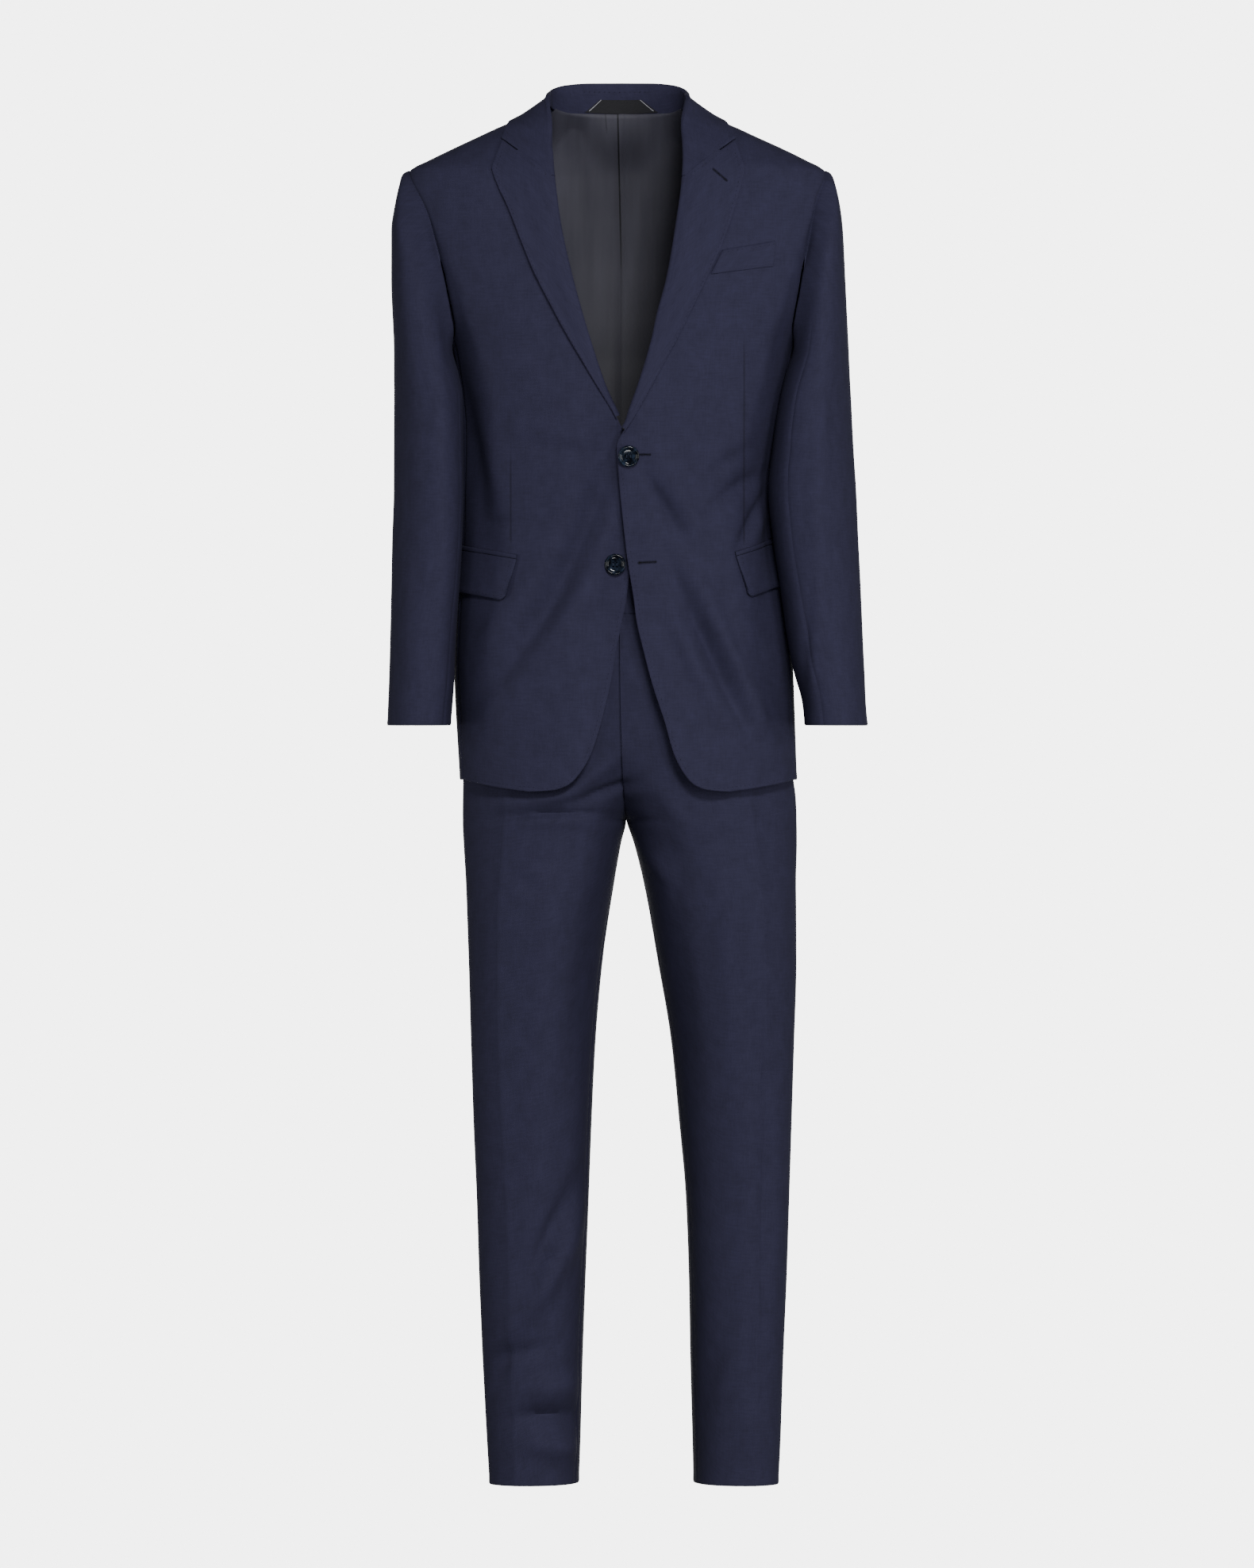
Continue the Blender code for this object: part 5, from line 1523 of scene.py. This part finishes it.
legs = {side: sideCurves(side, legColumns, legTable) for side in sides}
centreSeam = Curve((-508, -620, -700, -745, -769), (-4, -3, -1, 1.5, 3.5))
trousers = {
    "waistTop": -508.0,
    "waistbandHeight": 38.0,
    "crotch": -769.0,
    "frontRise": 95.0,
    "backRise": 120.0,
    "backCrease": 1.08,
    "seatTurn": math.radians(75),  # where the crease ends up over the seat
    "seatSpan": (-900.0, 130.0),
    "seatDrop": 120.0,
    "power": 2.1,
    "creaseRidge": 2.5,
    "creaseWidth": 7.0,
    "creaseLow": (600.0, 120.0),   # it starts this far down, and is whole this much lower
    "crotchFade": 6.0,             # seams close beside the crotch are flat
    "columns": 40,
    "hem": -1492.0,
    "heights": ((-700, 32), (-800, 34), (-1487.5, 132)),  # rows down to each height
    "hemSteps": (2.0, 0.7, 0.0),
    "flyLift": 2.8,
    "flyWidth": (34.0, 5.0),       # and how soft its edge is
    "flySpan": (-752.0, 16.0),     # from its foot up
    "waistbandRows": (0, 0.015, 0.05, 0.12, 0.25, 0.4, 0.55, 0.7, 0.85, 0.95, 0.985, 1.0),
    "waistbandColumns": 34,
    "waistbandThickness": 1.8,
}
trouserFolds = (
    # pulls from the crotch
    (1, -45, -727, 35, 80, 8, 8.6),
    (1, -92, -746, 9, 96, 9, 6.4),
    (1, -18, -737, 20, 60, 5, -7.1),
    (1, -78, -761, 2, 104, 3.6, -4.4, 3),
    (1, -80, -770, 2, 100, 7, 2, 3),
    (1, 116, -750, 80, 52, 12, 4.1),
    (1, 50, -751, -59, 52, 8, 5.1),
    (1, 50, -803, -50, 62, 15, -5.1),
    (1, 39, -824, -52, 36, 5, 3.1),
    (1, 63, -840, 77, 34, 5, -3.7),
    (1, -113, -832, -45, 36, 6, -2.5),
    (1, -110, -850, -45, 36, 6, 2),
    # long soft planes down the thighs and knees
    (1, -84, -960, 86, 300, 15, 3.7),
    (1, -45, -950, 84, 300, 14, -4.4),
    (1, 116, -960, -88, 300, 16, 3.7),
    (1, 66, -960, -84, 300, 14, -4.4),
    (1, 150, -1060, -86, 200, 9, -2.7),
    # breaks above the hems
    (1, -77, -1219, 66, 120, 10, -11.5),
    (1, -88, -1276, 57, 156, 12, 10.0, -5),
    (1, -108, -1346, 12, 56, 8, -5.0),
    (1, -134, -1362, 80, 60, 12, -4.4),
    (1, -78, -1386, 6, 60, 14, 7.4),
    (1, -80, -1415, 0, 76, 8, -9.0, 3),
    (1, -76, -1450, -8, 54, 13, 8.0),
    (1, 153, -1182, 89, 230, 9, -7.5),
    (1, 124, -1341, 80, 90, 12, 3.4),
    (1, 90, -1400, 80, 110, 12, -3.7),
    (1, 133, -1427, 80, 44, 9, 2.7),
    (-1, -56, -752, 24, 120, 15, -2.8, 10),
    (-1, 60, -752, -24, 120, 15, -2.8, 10),
    (-1, -70, -790, 38, 120, 14, 2.0, 8),
    (-1, 78, -790, -38, 120, 14, 2.0, 8),
    (-1, -100, -1010, 10, 100, 12, -2.2, 5),
    (-1, -98, -1050, -14, 100, 12, 1.9, 4),
    (-1, -100, -1085, 12, 90, 11, -1.6, 4),
    (-1, 118, -1010, -10, 100, 12, -2.2, 5),
    (-1, 122, -1050, 14, 100, 12, 1.9, 4),
    (-1, 124, -1085, -12, 90, 11, -1.6, 4),
    (-1, -104, -1300, 84, 240, 18, 1.5),
    (-1, 128, -1300, -84, 240, 18, 1.5),
)


def legPoint(side, face, step, z):
    # step 0 is the outer seam, 0.5 the crease and 1 the inner edge
    step, z = np.broadcast_arrays(np.asarray(step, float), np.asarray(z, float))
    at = {name: curve(z) for name, curve in legs[side].items()}
    sign, faceSign = sides[side], (-1 if face == "front" else 1)
    seam = centreSeam(z)
    inner = np.where(z < trousers["crotch"], at["inner"], seam)
    half = np.abs(at["outer"] - inner) / 2
    crease = np.radians(at["crease"])
    if face == "back":
        crease = math.pi - crease * trousers["backCrease"]
        crease = mixed(crease, trousers["seatTurn"], ramp(z, *trousers["seatSpan"]))
    turn = np.where(step < 0.5, crease * step * 2, mixed(crease, math.pi, step * 2 - 1))
    power = 2 / trousers["power"]
    localX = half * signedPower(np.cos(turn), power)
    localY = faceSign * at[face] * np.abs(np.sin(turn)) ** power
    twist = np.radians(at["turn"])
    x = localX * np.cos(twist) - localY * np.sin(twist)
    y = localY * np.cos(twist) + localX * np.sin(twist)
    deep = (at["front"] + at["back"]) / 2
    x = x * half / np.hypot(half * np.cos(twist), deep * np.sin(twist))
    leg = stacked((at["outer"] + inner) / 2 + sign * x, y, z)
    quarter = step * math.pi / 2
    hipX = seam + (at["outer"] - seam) * np.abs(np.cos(quarter)) ** power
    hip = stacked(hipX, faceSign * at[face] * np.sin(quarter) ** power, z)
    rise = trousers["frontRise"] if face == "front" else trousers["backRise"]
    climb = np.clip((z - trousers["crotch"]) / rise, 0.0, 1.0)
    sudden = np.sqrt(1 - (1 - climb) ** 2)
    slow = ramp(z - trousers["crotch"], -trousers["seatDrop"], rise / 2 + trousers["seatDrop"])
    share = mixed(slow, sudden, step ** 3)
    point = mixed(leg, hip, share[..., None])
    atSeam = (step >= 1) & (z > trousers["crotch"])
    point[..., 0] = np.where(atSeam, seam, point[..., 0])
    low = (step >= 1) & (z <= trousers["crotch"])
    return np.where(low[..., None], leg, point)


def legSteps():
    edge = np.array([0, 0.006, 0.018, 0.04])
    middle = np.linspace(0.04, 0.96, trousers["columns"] - 6)[1:-1]
    steps = np.concatenate([edge, middle, (0.485, 0.5, 0.515), 1 - edge])
    return np.unique(np.round(steps, 5))


def bothFaces(side, steps, heights):
    # the back from the inner edge out to the outer seam, then the front back in again
    back = legPoint(side, "back", steps[::-1][None], heights[:, None])
    front = legPoint(side, "front", steps[1:][None], heights[:, None])
    points = np.concatenate([back, front], axis=1)
    return points, gridNormals(points) * sides[side]


def legHeights():
    top = trousers["waistTop"] - trousers["waistbandHeight"] - 0.3
    heights = []
    for low, count in trousers["heights"]:
        heights += list(np.linspace(top, low, count)[:-1])
        top = low
    heights = np.array(heights + [top] + [trousers["hem"] + step for step in trousers["hemSteps"]])
    nearest = int(np.argmin(np.abs(heights - trousers["crotch"])))
    heights[nearest] = trousers["crotch"]
    return heights, nearest


def addLeg(side):
    heights, nearest = legHeights()
    steps = legSteps()
    points, normals = bothFaces(side, steps, heights)
    seam = unit((normals[:, 0] + normals[:, -1]) * (1, 1, 0))
    low = heights < trousers["crotch"]
    for column in (0, -1):
        upper = unit(normals[:, column] * (0, 1, 1))
        normals[:, column] = np.where(low[:, None], seam, upper)
    normals[nearest, 0] = normals[nearest, -1] = (0.0, 0.0, -1.0)
    middle = len(steps) - 1
    ridge = ramp(-heights, *trousers["creaseLow"])[:, None]
    offCrotch = smooth(np.abs(heights - trousers["crotch"]) / trousers["crotchFade"])[:, None]
    for face, columns in (("front", slice(middle, None)), ("back", slice(0, middle + 1))):
        part, ways = points[:, columns], normals[:, columns]
        run = lengthAcross(part)
        crease = int(np.argmin(np.abs((steps if face == "front" else steps[::-1]) - 0.5)))
        fromCrease = run - run[:, crease:crease + 1]
        rise = trousers["creaseRidge"] * ridge * np.exp(-np.abs(fromCrease) / trousers["creaseWidth"])
        rise = rise + foldRelief(part, ways, trouserFolds)
        edges = {"first": "seam", "last": "seam", "bottom": "free"}
        if face == "front" and side == "left":  # the fly laps over, so there is no seam along it
            width, edge = trousers["flyWidth"]
            inner = ramp(run - run[:, -1:], -width, edge)
            above = ramp(heights, *trousers["flySpan"])[:, None]
            rise = rise + trousers["flyLift"] * above * inner
            del edges["last"]
        rise = rise + edgeRelief(part, **edges) * offCrotch
        part = backOff(raised(part, ways, rise), "first", "last")
        uv = stacked(fromCrease * sides[side], lengthDown(part))
        name = named("trouser", face, side)
        piece = clothWall(name, part, ways, uv, "trousers", ["trouser_%s_%s" % (face, side)])
        declareSheet(part)


def addWaistband(side):
    rows = np.array(trousers["waistbandRows"])
    heights = trousers["waistTop"] - trousers["waistbandHeight"] * rows
    points, normals = bothFaces(side, np.linspace(0, 1, trousers["waistbandColumns"]), heights)
    for column in (0, -1):
        normals[:, column] = unit(normals[:, column] * (0, 1, 1))
    points = raised(points, normals, edgeRelief(points, top="free", bottom="seam"))
    points = backOff(points, "first", "last")
    name, nodes, uv = named("waistband", side), ["waistband_" + side], flatMap(points)
    thickness = trousers["waistbandThickness"]
    piece = clothWall(name, points, normals, uv, "trousers", nodes, thickness)
    declareSheet(points)



for side in sides:
    addLeg(side)
    addWaistband(side)
print("trousers made")


# buttons

button = {
    "diameter": 23.0,
    "thickness": 4.2,
    "hole": 2.2,
    "holeSpacing": 4.0,
    "holeSides": 20,
    "sides": 72,
    "standOff": 1.6,
    "places": {  # node, front, distance from the middle, height
        "buttonUpper": ("button_upper", "left", 6.0, -375.3),
        "buttonLower": ("button_lower", "right", 8.5, -492.6),
    },
    "profile": (  # share of the radius, share of the thickness
        (0.0, 0.0), (0.60, 0.02), (0.80, 0.10), (0.92, 0.28), (0.985, 0.50), (1.0, 0.66),
        (0.985, 0.82), (0.94, 0.95), (0.88, 1.0), (0.82, 0.97), (0.77, 0.86), (0.72, 0.73),
        (0.66, 0.66), (0.55, 0.62), (0.30, 0.60), (0.0, 0.60),
    ),
}


def placed(piece, side, across, z, out):
    # sets a piece made at the origin on a front, with its +Z along the cloth's direction
    point, normal = onFront(side, across, np.asarray(z, float), out)
    up = unit(np.array([0.0, 0.0, 1.0]) - normal * normal[2])
    turned = np.eye(4)
    turned[:3, 0], turned[:3, 1], turned[:3, 2] = np.cross(up, normal), up, normal
    turned[:3, 3] = point * mm
    piece.data.transform(Matrix(turned.tolist()))


def turnedMesh(name, profile, radius, height, count):
    vertices, rings = [], []
    for reach, rise in profile:
        if reach == 0:
            rings.append([len(vertices)])
            vertices.append((0, 0, rise * height))
            continue
        rings.append(list(range(len(vertices), len(vertices) + count)))
        for i in range(count):
            turn, out = 2 * math.pi * i / count, radius * reach
            vertices.append((out * math.cos(turn), out * math.sin(turn), rise * height))
    faces = []
    for low, high in zip(rings, rings[1:]):
        for i in range(count):
            pairs = ((low, i), (low, i + 1), (high, i + 1), (high, i))
            corners = [ring[k % count % len(ring)] for ring, k in pairs]
            faces.append(list(dict.fromkeys(corners)))
    return meshObject(name, vertices, faces, finishes["button"])


def addButton(name, node, side, across, z):
    radius, thickness = button["diameter"] / 2, button["thickness"]
    made = turnedMesh(name, button["profile"], radius, thickness, button["sides"])
    drills = []
    reach = button["holeSpacing"] / math.sqrt(2) * mm
    profile = ((0.0, -1.0), (1.0, -1.0), (1.0, 2.0), (0.0, 2.0))
    for i in range(4):
        turn = math.pi / 4 + i * math.pi / 2
        drill = turnedMesh("drill", profile, button["hole"] / 2, thickness, button["holeSides"])
        place = (reach * math.cos(turn), reach * math.sin(turn), 0)
        drill.data.transform(Matrix.Translation(place))
        cut = made.modifiers.new("hole", "BOOLEAN")
        cut.operation, cut.object = "DIFFERENCE", drill
        drills.append(drill)
    made = plainMesh(made, name)
    for drill in drills:
        bpy.data.objects.remove(drill, do_unlink=True)
    made.data.set_sharp_from_angle(angle=math.radians(35))
    placed(made, side, across, z, button["standOff"])
    declare(made, [node])


def plainMesh(made, name):
    # the evaluated shape as a plain mesh in place of the object and its modifiers
    bpy.context.view_layer.update()
    graph = bpy.context.evaluated_depsgraph_get()
    mesh = bpy.data.meshes.new_from_object(made.evaluated_get(graph))
    materials = [slot.material for slot in made.material_slots]
    bpy.data.objects.remove(made, do_unlink=True)
    mesh.name = name
    if not mesh.materials:
        for material in materials:
            mesh.materials.append(material)
    return linked(name, mesh)


for name, place in button["places"].items():
    addButton(name, *place)
print("buttons made")


# sewing: threads laid along paths by geometry nodes

threadInputs = (
    ("Spacing", "NodeSocketFloat"), ("Length", "NodeSocketFloat"),
    ("Thickness", "NodeSocketFloat"), ("Lean", "NodeSocketFloat"),
    ("Jitter", "NodeSocketFloat"), ("Seed", "NodeSocketInt"),
    ("Thread", "NodeSocketMaterial"),
)


def threadTree():
    tree = bpy.data.node_groups.new("threadsAlongPath", "GeometryNodeTree")
    tree.interface.new_socket("Geometry", in_out="INPUT", socket_type="NodeSocketGeometry")
    for name, kind in threadInputs:
        tree.interface.new_socket(name, in_out="INPUT", socket_type=kind)
    tree.interface.new_socket("Geometry", in_out="OUTPUT", socket_type="NodeSocketGeometry")
    nodes, links = tree.nodes, tree.links

    def add(kind, settings=(), **sockets):
        node = nodes.new(kind)
        for key, value in dict(settings).items():
            setattr(node, key, value)
        for key, value in sockets.items():
            place = node.inputs[key.replace("_", " ")]
            if hasattr(value, "links"):
                links.new(value, place)
            else:
                place.default_value = value
        return node

    given = nodes.new("NodeGroupInput").outputs
    path = add("GeometryNodeMeshToCurve", Mesh=given["Geometry"])
    spaced = add(
        "GeometryNodeResampleCurve", {"mode": "LENGTH"}, Curve=path.outputs[0], Length=given["Spacing"],
    )
    bead = add("GeometryNodeMeshUVSphere", Segments=6, Rings=5, Radius=0.5)
    size = add("ShaderNodeCombineXYZ", X=given["Length"], Y=given["Thickness"], Z=given["Thickness"])
    lean = add("ShaderNodeCombineXYZ", Z=given["Lean"])
    stitch = add(
        "GeometryNodeTransform", Geometry=bead.outputs[0], Scale=size.outputs[0],
        Rotation=lean.outputs[0],
    )
    tangent = add("GeometryNodeInputTangent")
    up = add("GeometryNodeInputNamedAttribute", {"data_type": "FLOAT_VECTOR"}, Name="up")
    along = add("FunctionNodeAlignRotationToVector", {"axis": "X"}, Vector=tangent.outputs[0])
    turned = add(
        "FunctionNodeAlignRotationToVector", {"axis": "Z", "pivot_axis": "X"},
        Rotation=along.outputs[0], Vector=up.outputs[0],
    )
    uneven = add("FunctionNodeRandomValue", {"data_type": "FLOAT"}, Seed=given["Seed"])
    for place, operation in ((2, "SUBTRACT"), (3, "ADD")):
        bound = add("ShaderNodeMath", {"operation": operation})
        bound.inputs[0].default_value = 1.0
        links.new(given["Jitter"], bound.inputs[1])
        links.new(bound.outputs[0], uneven.inputs[place])
    sown = add(
        "GeometryNodeInstanceOnPoints", Points=spaced.outputs[0], Instance=stitch.outputs[0],
        Rotation=turned.outputs[0], Scale=uneven.outputs[1],
    )
    real = add("GeometryNodeRealizeInstances", Geometry=sown.outputs[0])
    dressed = add("GeometryNodeSetMaterial", Geometry=real.outputs[0], Material=given["Thread"])
    links.new(dressed.outputs[0], nodes.new("NodeGroupOutput").inputs[0])
    return tree


threads = threadTree()


def sewAlong(name, paths, settings, finish):
    vertices, edges, ups = [], [], []
    for points, normals in paths:
        start = len(vertices)
        vertices += [tuple(p * mm) for p in points]
        ups += [tuple(n) for n in normals]
        edges += [(start + i, start + i + 1) for i in range(len(points) - 1)]
    mesh = bpy.data.meshes.new(name + "Path")
    mesh.from_pydata(vertices, edges, [])
    mesh.attributes.new("up", "FLOAT_VECTOR", "POINT").data.foreach_set("vector", np.array(ups).ravel())
    guide = linked(name + "Path", mesh)
    modifier = guide.modifiers.new("threads", "NODES")
    modifier.node_group = threads
    values = {
        "Spacing": settings["spacing"] * mm, "Length": settings["length"] * mm,
        "Thickness": settings["thickness"] * mm, "Lean": math.radians(settings["lean"]),
        "Jitter": settings["jitter"], "Seed": settings["seed"], "Thread": finishes[finish],
    }
    for item in threads.interface.items_tree:
        if item.item_type == "SOCKET" and item.in_out == "INPUT" and item.name in values:
            modifier[item.identifier] = values[item.name]
    sewn = plainMesh(guide, name)
    sewn.data.shade_smooth()
    declare(sewn)


def onGrid(grid, x, z, lift=0.0):
    # the places of a made grid that lie at these x and z, as seen from the front
    points, normals = (part.reshape(-1, 3) for part in grid)
    facing = normals[:, 1] < -0.3
    points, normals = points[facing], normals[facing]
    away = (points[None, :, 0] - np.asarray(x)[:, None]) ** 2
    away = away + (points[None, :, 2] - np.asarray(z)[:, None]) ** 2
    near = np.argmin(away, axis=1)
    at, ways = points[near], normals[near]
    lean = ways[:, 0] * (x - at[:, 0]) + ways[:, 2] * (z - at[:, 2])
    return stacked(x, at[:, 1] - lean / ways[:, 1], z) + ways * lift, ways


pickStitch = {
    "spacing": 5.2, "length": 1.7, "thickness": 0.5, "lean": 0, "jitter": 0.15, "seed": 4,
    "lift": -0.08,
    "below": -362.0,      # the fronts' edges are sewn from here down
    "collarLine": (-42, 24, 0.77, 1.1),  # from x to x, how far up the stand, and its lift
}


def gridPath(grid, span):
    points, normals = grid
    return points[span] + normals[span] * pickStitch["lift"], normals[span]


def pickStitchPaths():
    paths = []
    for side in sides:
        start = int(np.argmin(np.abs(frontGrids[side][0][:, 3, 2] - pickStitch["below"])))
        paths += [gridPath(frontGrids[side], span) for span in (np.s_[start:-4, 3], np.s_[-5, 3:-2])]
        paths += [gridPath(lapelGrids[side], span) for span in (np.s_[4:-2, -4], np.s_[3, 12:-4])]
        flapSpans = (np.s_[1:-4, 4], np.s_[-4, 4:-4], np.s_[1:-4, -5])
        paths += [gridPath(flapGrids[side], span) for span in flapSpans]
    paths += [gridPath(collarGrid, np.s_[2:-2, -4]), gridPath(weltGrid, np.s_[3, 3:-3])]
    start, end, height, lift = pickStitch["collarLine"]
    points, normals = standPoint(np.linspace(start, end, 40), np.full(40, height))
    return paths + [(points + normals * lift, normals)]


sewAlong("pickStitches", pickStitchPaths(), pickStitch, "thread")

buttonhole = {
    "places": {  # (x, z) at the front end and at the back end, and whether it has an eyelet
        "upper": ((15.5, -374.2), (30.0, -374.0), False),
        "lower": ((16.3, -490.8), (36.0, -489.8), True),
        "lapel": ((113.0, -76.3), (97.5, -62.9), False),
    },
    "halfWidth": 0.85,
    # half width of the painted shadow strip in each slit
    "slit": 0.32,
    "eyelet": 1.2,
    "spacing": 0.62, "length": 1.7, "thickness": 0.5, "lean": 90, "jitter": 0.06, "seed": 7,
}


def buttonholePath(start, end, eyelet, halfWidth):
    # round the slit, in the flat of the cloth
    start, end = np.array(start, float), np.array(end, float)
    way = unit(end - start)
    off = np.array([-way[1], way[0]])
    length = np.linalg.norm(end - start)
    around = []
    for i in range(61):
        turn = 2 * math.pi * i / 60
        along = (1 - math.cos(turn)) / 2 * length
        wide = halfWidth * min(1.0, 3.2 * abs(math.sin(turn)))
        if eyelet:
            bulge = math.exp(-((along - 1.5) / 1.7) ** 2)
            wide += (buttonhole["eyelet"] - halfWidth) * bulge * min(1.0, 4 * abs(math.sin(turn)))
        around.append(start + way * along + off * wide * math.copysign(1, math.sin(turn)))
    return np.array(around)


def addButtonholes():
    paths = []
    for name, (start, end, eyelet) in buttonhole["places"].items():
        grid = lapelGrids["left"] if name == "lapel" else frontGrids["left"]
        around = buttonholePath(start, end, eyelet, buttonhole["halfWidth"])
        paths.append(onGrid(grid, around[:, 0], around[:, 1], 0.1))
        # a thin dark strip of painted shadow fills each slit
        slit = buttonholePath(start, end, eyelet, buttonhole["slit"])
        points, normals = onGrid(grid, slit[:, 0], slit[:, 1], 0.12)
        middle = len(points) // 2
        high, low = points[:middle + 1], points[middle:][::-1]
        strip = np.stack([high, (high + low) / 2, low])[:, 1:-1]
        ways = np.stack([normals[:middle + 1]] * 3)[:, 1:-1]
        uv = np.zeros(strip.shape[:2] + (2,))
        clothWall(named("slit", name), strip, ways, uv, "slit", (), 0.3)
    sewAlong("buttonholeThreads", paths, buttonhole, "thread")


addButtonholes()

buttonThread = {
    "spacing": 0.5, "length": 1.3, "thickness": 0.75, "lean": 12, "jitter": 0.1, "seed": 3,
    "sink": 1.4,  # how far its ends go into the holes, and how high it arches over them
    "arch": 1.75,
}


def addButtonThreads():
    # two pairs of threads between the four holes of each button
    paths = []
    reach, t = button["holeSpacing"] / 2, np.linspace(-1, 1, 13)
    top = button["standOff"] + button["thickness"] * button["profile"][-1][1]
    rise = top - buttonThread["sink"] + buttonThread["arch"] * np.sqrt(np.maximum(1 - t ** 4, 0))
    for _, side, across, z in button["places"].values():
        for offset in (-reach, reach):
            x = across + offset * sides[side] + 0 * t
            paths.append(onFront(side, x, z + reach * t, rise))
    sewAlong("buttonThreads", paths, buttonThread, "buttonThread")


addButtonThreads()
print("sewing made")


# floor, backdrop and light

def addStage():
    floorZ, backY, half = studio["floorZ"], studio["backdropY"], studio["backdropHalf"]
    bend = studio["backdropBend"]
    finish = Finish("paperBackdrop", **{"Roughness": 1.0, "Specular IOR Level": 0.0})
    finish.feed("Base Color", (0.0, 0.0, 0.0, 1.0))
    finish.feed("Emission Color", (1.0, 1.0, 1.0, 1.0))
    finish.feed("Emission Strength", studio["backdropGlow"])
    turns = [math.pi / 2 * i / 12 for i in range(13)]
    profile = [(studio["backdropFront"], floorZ)]
    profile += [(backY - bend + bend * math.sin(t), floorZ + bend - bend * math.cos(t)) for t in turns]
    profile.append((backY, studio["backdropTop"]))
    vertices = [(x, y, z) for y, z in profile for x in (-half, half)]
    faces = [(2 * i, 2 * i + 1, 2 * i + 3, 2 * i + 2) for i in range(len(profile) - 1)]
    meshObject("backdrop", np.array(vertices) / mm, faces, finish.material)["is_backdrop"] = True


def addLight(place, aim, size, power):
    data = bpy.data.lights.new("softbox", "AREA")
    data.shape, data.size, data.size_y, data.energy = "RECTANGLE", size[0], size[1], power
    light = linked("softbox", data)
    light.location = place
    light.rotation_euler = (Vector(aim) - Vector(place)).to_track_quat("-Z", "Y").to_euler()


addStage()
world = bpy.data.worlds.new("studioWorld")
world.use_nodes = True
world.node_tree.nodes["Background"].inputs[0].default_value = (*studio["worldColour"], 1)
world.node_tree.nodes["Background"].inputs[1].default_value = studio["worldStrength"]
bpy.context.scene.world = world
for light in studio["lights"]:
    addLight(*light)
print("studio made")

sizes = {"cad": cadBox, "visual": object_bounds()}
sizes = {name: [[float(v) for v in corner] for corner in box] for name, box in sizes.items()}
